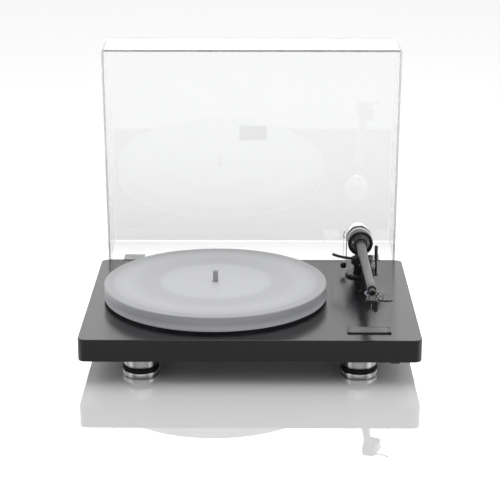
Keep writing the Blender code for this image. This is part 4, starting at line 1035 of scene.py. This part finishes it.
class PLAYER_OT_tube(bpy.types.Operator):
    """Gimbal block, tapered tube with its collars, and the counterweight stub"""

    bl_idname = "player.tube"
    bl_label = "Gimbal and tube"

    def execute(self, context):
        half = 0.0085
        dark = anodised("gimbal black", (0.018, 0.018, 0.019), 0.28)
        block_profile = [
            *at(half, (0, -1.2), (6.6, -1.2), (7, -0.4), (7.4, 0), (9, 0), (9.4, -0.4), (9.5, -1)),
            *at(0, (9.5, 3.4), (9.1, 3), (9.1, -3), (9.5, -3.4)), *at(-half, (9.5, 0.8), (8.8, 0), (0, 0)),
        ]
        gimbal = turned("gimbal_core", block_profile, along_arm(), 72)
        dress(gimbal, dark, "arm", ("gimbal_block",))
        for side, name in ((-1, "left"), (1, "right")):
            cup = turned(
                f"bearing_cup_{name}",
                ring(at(0, (1.5, 9.8), (2.6, 9.8), (2.9, 9.5), (2.9, 8.8), (1.5, 8.8))),
                arm_frame() @ Matrix.Rotation(side * math.pi / 2, 4, "Y"), 32,
            )
            dress(cup, polished(f"bearing cup {name}", (0.62, 0.62, 0.63), 0.16), "arm")
        start, end = half + SEAT_GAP, 0.208
        collar = end - 0.0090
        tube = turned(
            "arm_wand",
            [
                *at(end, (0, -0.6), (4, -0.6), (4.4, 0), (5.25, 0), (5.6, -0.4), (5.65, -1)),
                *at(collar, (5.65, 0.4), (5.45, 0), (5.25, -0.2)),
                *at(start, (6.5, 10.2), (6.62, 9.8), (7.1, 9.5), (7.1, 0.6), (6.6, 0), (0, 0)),
            ],
            along_arm(), 96,
        )
        dress(tube, graphite_tube(), "arm", ("arm_tube",))
        for name, low, high, radius in (
            ("rear_band", start + 0.0096, start + 0.0122, 0.00668),
            ("front_band", collar - 0.0002, collar + 0.0022, 0.00585),
            ("mouth_band", end - 0.0022, end + 0.0001, 0.00585),
        ):
            band = turned(
                name, ring(rounded(low, high, radius, 0.0003, radius - 0.0008, 2)), along_arm(), 72,
            )
            dress(band, dark, "arm")
        stub = turned(
            "weight_stub", at(-half, (0, -43.3), (3.4, -43.3), (4, -42.7), (4, -0.3), (0, -0.3))[::-1],
            along_arm(), 48,
        )
        dress(
            stub, turned_metal("stub steel", (0.60, 0.60, 0.62), 0.2, ARM_PIVOT, "y", 0.0005), "arm",
            ("counterweight_stub",),
        )
        return {"FINISHED"}


class PLAYER_OT_counterweight(bpy.types.Operator):
    """Chromed counterweight with a knurled dial ring, on its rubber sleeve"""

    bl_idname = "player.counterweight"
    bl_label = "Counterweight"

    def execute(self, context):
        front, back, radius, bore = -0.0130, -0.0460, 0.0175, 0.0068
        body = turned(
            "weight_drum",
            ring(
                [
                    (bore, front - 0.0062), (radius - 0.0016, front - 0.0062),
                    (radius - 0.0016, front - 0.0150), (radius - 0.0004, front - 0.0152),
                    (radius, front - 0.0158), (radius, back + 0.0052), (radius - 0.0003, back + 0.0048),
                    (radius - 0.0003, back + 0.0042), (radius, back + 0.0038), (radius, back + 0.0014),
                    (radius - 0.0004, back + 0.0004), (radius - 0.0014, back),
                    *at(back, (10, 0), (9.4, 0.8)), (bore, back + 0.0008),
                ]
            ),
            along_arm(), 128,
        )
        dress(
            body, polished("weight chrome", (0.84, 0.84, 0.85), 0.07), "weight",
            ("counterweight",),
        )
        dial = turned(
            "weight_dial",
            ring(
                [
                    (bore, front), (radius - 0.0020, front), (radius - 0.0010, front - 0.0004),
                    (radius - 0.0005, front - 0.0010), (radius - 0.0003, front - 0.0058),
                    (bore, front - 0.0058),
                ]
            ),
            along_arm(), 128,
        )
        made = Recipe("dial satin", metallic=0.9)
        x, _, z = made.parts(made.point(ARM_PIVOT, turn=(0, 0, -PARKED)))
        angle = x.math("ARCTAN2", x, z)
        knurl = (angle * 72).sine()
        haze = made.grain(made.point(), 300.0, 3.0)
        made.set("Base Color", made.tint(haze, (0.30, 0.30, 0.31), (0.38, 0.38, 0.39)))
        made.set("Roughness", 0.30 + haze * 0.08)
        dress(dial, made.relief(knurl * 0.5 + 0.5, 0.5, 0.0003), "weight")
        grip = turned(
            "weight_grip",
            ring(
                [
                    (radius - 0.0013, front - 0.0064), (radius - 0.0006, front - 0.0064),
                    (radius - 0.0002, front - 0.0068), (radius - 0.0002, front - 0.0144),
                    (radius - 0.0006, front - 0.0148), (radius - 0.0013, front - 0.0148),
                ]
            ),
            along_arm(), 128,
        )
        dress(grip, rubbery("weight grip rubber", (0.010, 0.010, 0.011)), "weight")
        sleeve = turned(
            "weight_bush", ring(rounded(back + 0.0010, front - 0.0010, 0.0065, 0.0004, 0.0043, 2)),
            along_arm(), 48,
        )
        dress(sleeve, rubbery("bush rubber"), "weight_carrier", ("counterweight_sleeve",))
        return {"FINISHED"}


class PLAYER_OT_head(bpy.types.Operator):
    """Headshell with its screws, cartridge, stylus, finger lift and leads"""

    bl_idname = "player.head"
    bl_label = "Headshell and cartridge"

    def execute(self, context):
        head = head_frame()
        self.shell(head)
        self.cartridge(head)
        self.leads(head)
        return {"FINISHED"}

    def shell(self, head):
        """Slotted plate on its neck, with the screws in it."""
        top, half = HEAD_TOP, HEAD_HALF
        shell_look = anodised("headshell black", (0.006, 0.006, 0.007), 0.34, gloss=0.20)
        shell = block("head_plate", (-half, -0.0095, top - HEAD_THICK), (half, 0.0230, top))
        choose(shell, lambda place, way: abs(way.z) > 0.9, "EDGE")
        bpy.ops.mesh.bevel(offset=0.0028, segments=6, affect="EDGES")
        bpy.ops.object.mode_set(mode="OBJECT")
        soften(shell, 0.0005, 3)
        for side in (-1, 1):
            x = side * HOLE_SPACING / 2
            cut(shell, block("slot", (x - 0.0014, -0.003, top - 0.01), (x + 0.0014, 0.007, top + 0.01)))
        settle(shell, head)
        neck = turned(
            "head_neck",
            at(0, (0, 208.3), (3.4, 208.3), (4, 208.9), (4, 221.5), (3.4, 222.3), (0, 222.5))[::-1],
            along_arm(), 48,
        )
        cut(shell, neck, "UNION")
        dress(shell, shell_look, "arm", ("headshell",))
        bright = polished("head screw steel", (0.70, 0.70, 0.71), 0.12)
        for number, side in enumerate((-1, 1), 1):
            spot = head @ upright(
                side * HOLE_SPACING / 2, 0.0015, top,
            ) @ Matrix.Rotation(0.7 * number, 4, "Z")
            washer = turned(
                f"head_washer_{number}", ring(rounded(0.0001, 0.0005, 0.0026, 0.0001, 0.0012, 2)), spot, 32,
            )
            dress(washer, bright, "arm")
            head_screw = screw(f"head_screw_{number}", spot @ upright(0, 0, 0.0006), 0.0021, 0.0013)
            dress(
                head_screw, anodised(f"head screw black {number}", (0.02, 0.02, 0.021), 0.25), "arm",
            )
        for number, y in enumerate((0.0095, 0.0165), 1):
            spot = head @ upright(0.0006, y, top)
            eye = turned(
                f"lock_washer_{number}", ring(rounded(0.0001, 0.0006, 0.0028, 0.0002, 0.0015, 2)), spot, 40,
            )
            dress(eye, bright, "arm")
            lock = screw(f"lock_screw_{number}", spot @ upright(0, 0, 0.0007), 0.0022, 0.0015)
            dress(lock, anodised(f"lock screw black {number}", (0.015, 0.015, 0.016), 0.22), "arm")

    def cartridge(self, head):
        """Moulded body with a light grey rib down its front as a painted highlight, the stylus, and the finger
        lift on the plate above.
        """
        low, high, half = CARTRIDGE_LOW, CARTRIDGE_HIGH, HEAD_HALF
        body = block("cartridge_shell", (-half - 0.0004, -0.0090, low), (half + 0.0004, 0.0170, high))
        choose(body, lambda place, way: abs(way.y) > 0.9 and place.z < low + 1e-4, "EDGE")
        bpy.ops.mesh.bevel(offset=0.0022, segments=1, affect="EDGES")
        choose(body, lambda place, way: way.y < -0.5)
        bpy.ops.transform.resize(value=(0.97, 1, 0.97), center_override=(0, -0.0090, high))
        bpy.ops.mesh.inset(thickness=0.0011, depth=0)
        bpy.ops.mesh.extrude_region_move(TRANSFORM_OT_translate={"value": (0, 0.0004, 0)})
        bpy.ops.object.mode_set(mode="OBJECT")
        soften(body, 0.0007, 3, 40)
        cut(body, block("seat", (-0.0045, -0.02, low - 0.002), (0.0045, 0.006, low + 0.0035)))
        settle(body, head)
        # painted highlight: a thin light grey rib down the cartridge's front stands in for a highlight line
        highlight_rib = block("cartridge_rib", (-0.00035, -0.0091, low + 0.0037), (0.00035, -0.0083, high - 0.0009))
        soften(highlight_rib, 0.00012, 2)
        settle(highlight_rib, head)
        dress(highlight_rib, moulded("rib moulding", (0.16, 0.16, 0.165), 0.3), "arm")
        dress(
            body, moulded("cartridge moulding", (0.005, 0.0053, 0.0058), 0.30, 1800.0, 0.08, 0.16), "arm",
            ("cartridge_body",),
        )
        stylus = block("stylus_shoe", (-0.0042, -0.0080, low - 0.0005), (0.0042, 0.0057, low + 0.0032))
        choose(stylus, lambda place, way: way.y < -0.5)
        bpy.ops.transform.resize(value=(0.82, 1, 0.8), center_override=(0, -0.0080, low + 0.0032))
        bpy.ops.object.mode_set(mode="OBJECT")
        soften(stylus, 0.0004, 2)
        settle(stylus, head)
        dress(
            stylus, moulded("stylus moulding", (0.05, 0.05, 0.055), 0.35), "arm",
            ("stylus_unit",),
        )
        tip = turned(
            "stylus_tip", at(low, (0, -0.1), (0.6, -0.1), (0.3, -3), (0.12, -4.3), (0, -4.5)), head, 16,
        )
        dress(tip, polished("stylus steel", (0.75, 0.75, 0.76), 0.1), "arm")
        level = HEAD_TOP - HEAD_THICK / 2
        lift = wired("finger_rod", [
            (half + SEAT_GAP, -0.001, level), (half + 0.006, -0.001, level),
            (half + 0.012, -0.001, level + 0.0006), (0.0255, -0.001, level + 0.0020),
        ], 0.0011, head)
        dress(lift, anodised("finger lift black", rough=0.25), "arm", ("finger_lift",))

    def leads(self, head):
        """Four pins with their clips, and the coloured leads to the tube's mouth."""
        low = CARTRIDGE_LOW
        colours = {"white": (0.62, 0.61, 0.59), "blue": (0.10, 0.13, 0.26), "red": (0.38, 0.10, 0.09),
                   "green": (0.12, 0.27, 0.17)}
        pins = ((-0.0052, "white"), (-0.0018, "blue"), (0.0020, "green"), (0.0056, "red"))
        for x, colour in pins:
            side = -1 if x < 0 else 1
            depth = low + (0.0088 if abs(x) < 0.003 else 0.0055)
            out = 0.0072 if abs(x) > 0.003 else 0.0048
            post = turned(
                f"cartridge_pin_{colour}", at(0, (0, 4.6), (0.3, 4.6), (0.5, 4.2), (0.5, 0), (0, 0)),
                head @ Matrix.Translation((x, 0.0168, depth)) @ Matrix.Rotation(-math.pi / 2, 4, "X"), 16,
            )
            dress(post, polished(f"pin gold {colour}", (0.85, 0.72, 0.42), 0.12), "arm")
            clip = turned(
                f"lead_clip_{colour}", rounded(0.0006, 0.0046, 0.00085, 0.0002, 0, 2),
                head @ Matrix.Translation((x, 0.0170, depth)) @ Matrix.Rotation(-math.pi / 2, 4, "X"), 20,
            )
            dress(clip, polished(f"clip silver {colour}", (0.86, 0.86, 0.86), 0.14), "arm")
            start = head @ Vector((x, 0.0212, depth))
            mouth = arm_frame() @ Vector((side * 0.0036, -0.2070, 0.0002 - 0.0016 * (abs(x) > 0.003)))
            bow = arm_frame() @ Vector((side * (out + 0.0036), -0.2115, -0.0040))
            rise = head @ Vector((x + side * 0.0012, 0.0252, depth + 0.0006))
            lead = wired(
                f"lead_{colour}",
                [
                    start, rise, (rise + bow) / 2 + Vector((0, 0, 0.0006)), bow,
                    (bow + mouth) / 2 + Vector((0, 0, 0.0014)), mouth,
                ],
                0.00042, None, 6, 3,
            )
            look = moulded(f"lead sleeve {colour}", colours[colour], 0.38, 900.0, 0.08)
            dress(lead, look, "arm")


class PLAYER_OT_lift(bpy.types.Operator):
    """Arm lift bar and cap, and the cue lever"""

    bl_idname = "player.lift"
    bl_label = "Lift and cue lever"

    def execute(self, context):
        low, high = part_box("lift_bar")
        column = middle("lift_column")
        pivot = Vector((ARM_PIVOT.x, ARM_PIVOT.y))
        reach = Vector((column.x, column.y)) - pivot
        radius = reach.length
        height = high.z - 0.0053
        start, end = math.atan2(-reach.x, -reach.y), math.radians(57)
        points = []
        for i in range(19):
            angle = start + (end - start) * i / 18
            points.append((pivot.x - radius * math.sin(angle), pivot.y - radius * math.cos(angle), height))
        bar = wired("lift_rail", points, 0.0014, None, 4, 5)
        black = anodised("lift black", rough=0.28)
        dress(bar, black, "lift", ("lift_bar",))
        pad = wired("lift_pad", points[4:], 0.0020, None, 4, 5)
        dress(pad, rubbery("pad rubber"), "lift")
        cap = turned(
            "lift_cap",
            [
                *at(
                    high.z, (0, 0), (1.8, -0.1), (2.8, -0.5), (3.3, -1.2), (3.4, -2), (3.4, -8.5),
                    (3.1, -8.8), (3.1, -9.4), (3.4, -9.7), (3.4, -10.6), (3, -11), (1.9, -11),
                ),
                *at(low.z, (1.9, 0.3), (1.6, 0), (0, 0)),
            ],
            upright(column.x, column.y), 48,
        )
        dress(cap, anodised("lift cap black", (0.030, 0.030, 0.032), 0.22), "lift")
        hinge = Vector(JOINTS["cue_lever_turn"]["pos_m"])
        lean = Matrix.Translation(hinge) @ Matrix.Rotation(-math.radians(11), 4, "X")
        offset = 0.0085
        lever = turned(
            "lever_grip",
            at(
                0, (0, 41), (1.6, 40.8), (2.2, 40.2), (2.3, 39.2), (2.3, 22), (2.1, 21.2), (1.4, 20.5),
                (1.4, -0.2), (1, -0.8), (0, -0.8),
            ),
            lean @ upright(offset, 0), 40,
        )
        axle = turned(
            "lever_axle", [*at(offset, (0, 2.8), (0.9, 2.8), (1.2, 2.5)), *at(0, (1.2, 4.9), (0, 4.9))],
            lean @ Matrix.Rotation(math.pi / 2, 4, "Y"), 32,
        )
        cut(lever, axle, "UNION")
        dress(lever, anodised("lever black", rough=0.26), "cue_lever", ("cue_lever",))
        return {"FINISHED"}


class PLAYER_OT_anti_skate(bpy.types.Operator):
    """Anti-skate hook, thread and weight"""

    bl_idname = "player.anti_skate"
    bl_label = "Anti-skate"

    def execute(self, context):
        low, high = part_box("anti_skate_weight")
        eye = middle("anti_skate_weight")
        hook_low, hook_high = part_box("anti_skate_hook")
        eye_z = ARM_PIVOT.z + 0.006
        collar_z = hook_low.z + 0.0007
        hook_x, hook_y = eye.x + 0.0004, eye.y
        post_x, post_y = hook_x + 0.0032, hook_y - 0.0065
        top = hook_high.z - 0.0007
        hook = wired(
            "hook_wire",
            [
                (ARM_PIVOT.x - 0.0128, ARM_PIVOT.y, collar_z),
                (ARM_PIVOT.x - 0.0160, ARM_PIVOT.y, collar_z), (post_x + 0.0006, post_y, collar_z),
                (post_x, post_y, collar_z + 0.0008), (post_x, post_y, collar_z + 0.006),
                (post_x, post_y, (collar_z + top) / 2), (post_x, post_y, top - 0.006),
                (post_x, post_y, top - 0.0012), (post_x - 0.0008, post_y + 0.0018, top + 0.0004),
                (hook_x + 0.0008, hook_y - 0.0018, top - 0.0006), (hook_x - 0.0006, hook_y, top - 0.0035),
                (hook_x - 0.0009, hook_y, eye_z + 0.0025), (hook_x - 0.0008, hook_y, eye_z + 0.0002),
                (hook_x - 0.0001, hook_y, eye_z - 0.0005), (hook_x + 0.0009, hook_y, eye_z + 0.0006),
                (hook_x + 0.0006, hook_y, eye_z + 0.0016),
            ],
            0.00068, None, 6, 4,
        )
        dress(
            hook, polished("hook steel", (0.58, 0.58, 0.60), 0.16), "chassis",
            ("anti_skate_hook",),
        )
        weight = turned(
            "thread_weight",
            [
                *at(high.z, (0, 0), (1, 0), (3.2, -0.2), (4, -0.7), (4.25, -1.4)),
                *at(low.z, (4.25, 4.4), (4, 4.1), (4, 3.5), (4.25, 3.2), (4.25, 0.7), (3.6, 0), (0, 0)),
            ],
            upright(eye.x, eye.y), 48,
        )
        dress(
            weight, anodised("thread weight black", rough=0.24), "skate_weight",
            ("anti_skate_weight",),
        )
        white = Recipe("thread fibre", roughness=0.7)
        twist = (white.parts(white.point())[2] * 5200).sine()
        white.set("Base Color", white.tint(twist * 0.5 + 0.5, (0.30, 0.30, 0.30), (0.52, 0.52, 0.52)))
        look = white.relief(twist, 0.3, 0.0001)
        drop = wired(
            "thread_drop",
            [(eye.x, eye.y, high.z), (eye.x, eye.y, (high.z + eye_z) / 2), (eye.x, eye.y, eye_z)],
            sizes().thread, None, 6, 3,
        )
        dress(drop, look, "chassis")
        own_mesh(drop)
        stud = arm_frame() @ Vector((-0.014, 0.0088, 0.006))
        run = wired(
            "thread_run", [(eye.x, eye.y, eye_z), (Vector((eye.x, eye.y, eye_z)) + stud) / 2, tuple(stud)],
            sizes().thread, None, 10, 3,
        )
        dress(run, look, None)
        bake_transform(run)
        return {"FINISHED"}


class PLAYER_OT_terminals(bpy.types.Operator):
    """Insulating rings and screws of the rear terminals, and the screws of the motor cover"""

    bl_idname = "player.terminals"
    bl_label = "Rear terminals"

    def execute(self, context):
        back = Matrix.Rotation(-math.pi / 2, 4, "X")
        for name, colour in (("left", (0.75, 0.74, 0.72)), ("right", (0.55, 0.02, 0.02))):
            spot = middle(f"rca_jack_{name}")
            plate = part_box("terminal_plate")[1].y
            collar = turned(f"jack_ring_{name}", ring(rounded(0.0001, 0.0016, 0.0058, 0.0004, 0.0044, 3)),
                            Matrix.Translation((spot.x, plate, spot.z)) @ back, 48)
            dress(collar, moulded(f"jack ring {name}", colour, 0.35), "chassis")
        plate_low, plate_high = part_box("terminal_plate")
        for number, (x, z) in enumerate(((-1, -1), (-1, 1), (1, -1), (1, 1)), 1):
            spot = ((plate_low.x + plate_high.x) / 2 + x * 0.0455, plate_high.y + 0.0001,
                    (plate_low.z + plate_high.z) / 2 + z * 0.0062)
            head = screw(
                f"plate_screw_{number}", Matrix.Translation(spot) @ back @ Matrix.Rotation(number, 4, "Z"),
                0.0016, 0.0010,
            )
            dress(
                head, polished(f"plate screw steel {number}", (0.24, 0.24, 0.25), 0.2), "chassis",
            )
        cover_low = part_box("motor_cover")[0]
        centre = middle("motor_cover")
        under = Matrix.Rotation(math.pi, 4, "X")
        for i in range(3):
            angle = math.radians(90 + 120 * i)
            spot = (
                centre.x + 0.0225 * math.cos(angle), centre.y + 0.0225 * math.sin(angle),
                cover_low.z - 0.0001,
            )
            head = screw(f"cover_screw_{i + 1}", Matrix.Translation(spot) @ under, 0.0024, 0.0013)
            dress(head, polished(f"cover screw steel {i + 1}", (0.30, 0.30, 0.31), 0.2), "chassis")
        return {"FINISHED"}


class PLAYER_OT_stage(bpy.types.Operator):
    """Glossy pale floor, soft lights, the room and the camera"""

    bl_idname = "player.stage"
    bl_label = "Studio"

    def execute(self, context):
        scene = context.scene
        fresh()
        bpy.ops.mesh.primitive_plane_add(size=12, location=(0, 0, 0))
        floor = named("studio_floor")
        bpy.ops.object.mode_set(mode="EDIT")
        bpy.ops.mesh.subdivide(number_cuts=2)
        bpy.ops.object.mode_set(mode="OBJECT")
        sheet = Recipe("studio floor gloss", roughness=0.5, specular_ior_level=0.0)
        sheet.set("Base Color", (0.73, 0.73, 0.733))
        mirror = sheet.add("ShaderNodeBsdfGlossy", None, {"Color": (1, 1, 1), "Roughness": 0.012})
        both = sheet.add("ShaderNodeMixShader", None, {
            0: studio().floor_gloss, 1: Signal(sheet.tree, sheet.shader.outputs[0]), 2: mirror,
        })
        sheet.tree.links.new(both.socket, sheet.end.inputs["Surface"])
        floor.data.materials.append(sheet.material)
        self.room(scene)
        for name, place, aim, size, power in (
            ("top_box", (0.15, 0.10, 1.9), (0, 0, 0), (1.6, 1.2), 16),
            ("right_box", (1.7, -0.5, 0.9), (0.1, 0, 0.05), (0.9, 1.3), 12),
            ("left_box", (-1.7, -0.5, 0.9), (-0.1, 0, 0.05), (0.9, 1.3), 7),
            ("front_box", (0, -1.9, 0.28), (0, -0.1, 0), (2.4, 0.3), 5),
        ):
            lamp = bpy.data.lights.new(name, "AREA")
            lamp.shape, lamp.size, lamp.size_y, lamp.energy = "RECTANGLE", size[0], size[1], power
            lit = bpy.data.objects.new(name, lamp)
            scene.collection.objects.link(lit)
            lit.location = place
            lit.visible_camera = False
            lit.rotation_euler = (Vector(aim) - Vector(place)).to_track_quat("-Z", "Y").to_euler()
        camera = bpy.data.cameras.new("studio_camera")
        camera.lens, camera.sensor_width = studio().lens, 36
        camera.clip_end = 50
        eye = bpy.data.objects.new("studio_camera", camera)
        scene.collection.objects.link(eye)
        place = Vector((DECK_MIDDLE.x, DECK_MIDDLE.y, DECK_TOP)) + Vector(studio().camera_offset)
        eye.matrix_world = (
            Matrix.Translation(place) @ Matrix.Rotation(studio().camera_yaw, 4, "Z")
            @ Matrix.Rotation(math.pi / 2 - studio().camera_pitch, 4, "X")
        )
        scene.camera = eye
        scene.view_settings.view_transform = "Standard"
        scene.view_settings.look = "None"
        return {"FINISHED"}

    def room(self, scene):
        """White behind the player, darker in front of it, with an upright panel to each side."""
        room = bpy.data.worlds.new("studio_room")
        scene.world = room
        room.use_nodes = True
        tree = room.node_tree
        board = tree.nodes["Background"]
        place = tree.nodes.new("ShaderNodeTexCoord")
        split = tree.nodes.new("ShaderNodeSeparateXYZ")
        tree.links.new(place.outputs["Generated"], split.inputs[0])
        side, depth, height = (Signal(tree, output) for output in split.outputs)
        lit = (depth * 0.9 + 0.62).clipped()
        level = lit * (studio().room_light - studio().front_shade) + studio().front_shade
        wall = height.step(0.297, 0.02) * (1.0 - height.step(0.50, 0.30)) * depth.step(0.2, 0.4)
        across = side.math("ABSOLUTE", side)
        panel = across.step(0.74, 0.04) * (1.0 - across.step(0.92, 0.04)) * (1.0 - depth.step(-0.15, 0.2))
        panel = panel * (1.0 - height.step(0.75, 0.1))
        level = level + wall * studio().back_light + panel * studio().side_panels
        seen = tree.nodes.new("ShaderNodeLightPath")
        straight = Signal(tree, seen.outputs["Is Camera Ray"])
        strength = level * (1.0 - straight) + straight * 1.0
        board.inputs["Color"].default_value = (1, 1, 1, 1)
        tree.links.new(strength.socket, board.inputs["Strength"])


class PLAYER_PT_panel(bpy.types.Panel):
    """The pieces in the order in which the player is put together"""

    bl_idname = "PLAYER_PT_panel"
    bl_label = "Record Player"
    bl_space_type = "VIEW_3D"
    bl_region_type = "UI"
    bl_category = "Record Player"

    def draw(self, context):
        for settings in (studio(), finishes(), sizes()):
            box = self.layout.box()
            for name in settings.__annotations__:
                box.prop(settings, name)
        for piece in PIECES:
            self.layout.operator(piece.bl_idname)


PIECES = (
    PLAYER_OT_stage, PLAYER_OT_carried, PLAYER_OT_platter, PLAYER_OT_feet, PLAYER_OT_cover, PLAYER_OT_badge,
    PLAYER_OT_arm_base, PLAYER_OT_bearing, PLAYER_OT_tube, PLAYER_OT_counterweight, PLAYER_OT_head,
    PLAYER_OT_lift, PLAYER_OT_anti_skate, PLAYER_OT_terminals,
)
CLASSES = (RecordPlayerStudio, RecordPlayerFinishes, RecordPlayerSizes, *PIECES, PLAYER_PT_panel)


def register():
    for kind in CLASSES:
        bpy.utils.register_class(kind)
    bpy.types.Scene.record_player_studio = bpy.props.PointerProperty(type=RecordPlayerStudio)
    bpy.types.Scene.record_player_finishes = bpy.props.PointerProperty(type=RecordPlayerFinishes)
    bpy.types.Scene.record_player_sizes = bpy.props.PointerProperty(type=RecordPlayerSizes)


def unregister():
    del bpy.types.Scene.record_player_studio
    del bpy.types.Scene.record_player_finishes
    del bpy.types.Scene.record_player_sizes
    for kind in reversed(CLASSES):
        bpy.utils.unregister_class(kind)


def main():
    register()
    for piece in PIECES:
        getattr(bpy.ops.player, piece.bl_idname.split(".")[1])()
    fresh()


if __name__ == "__main__":
    main()
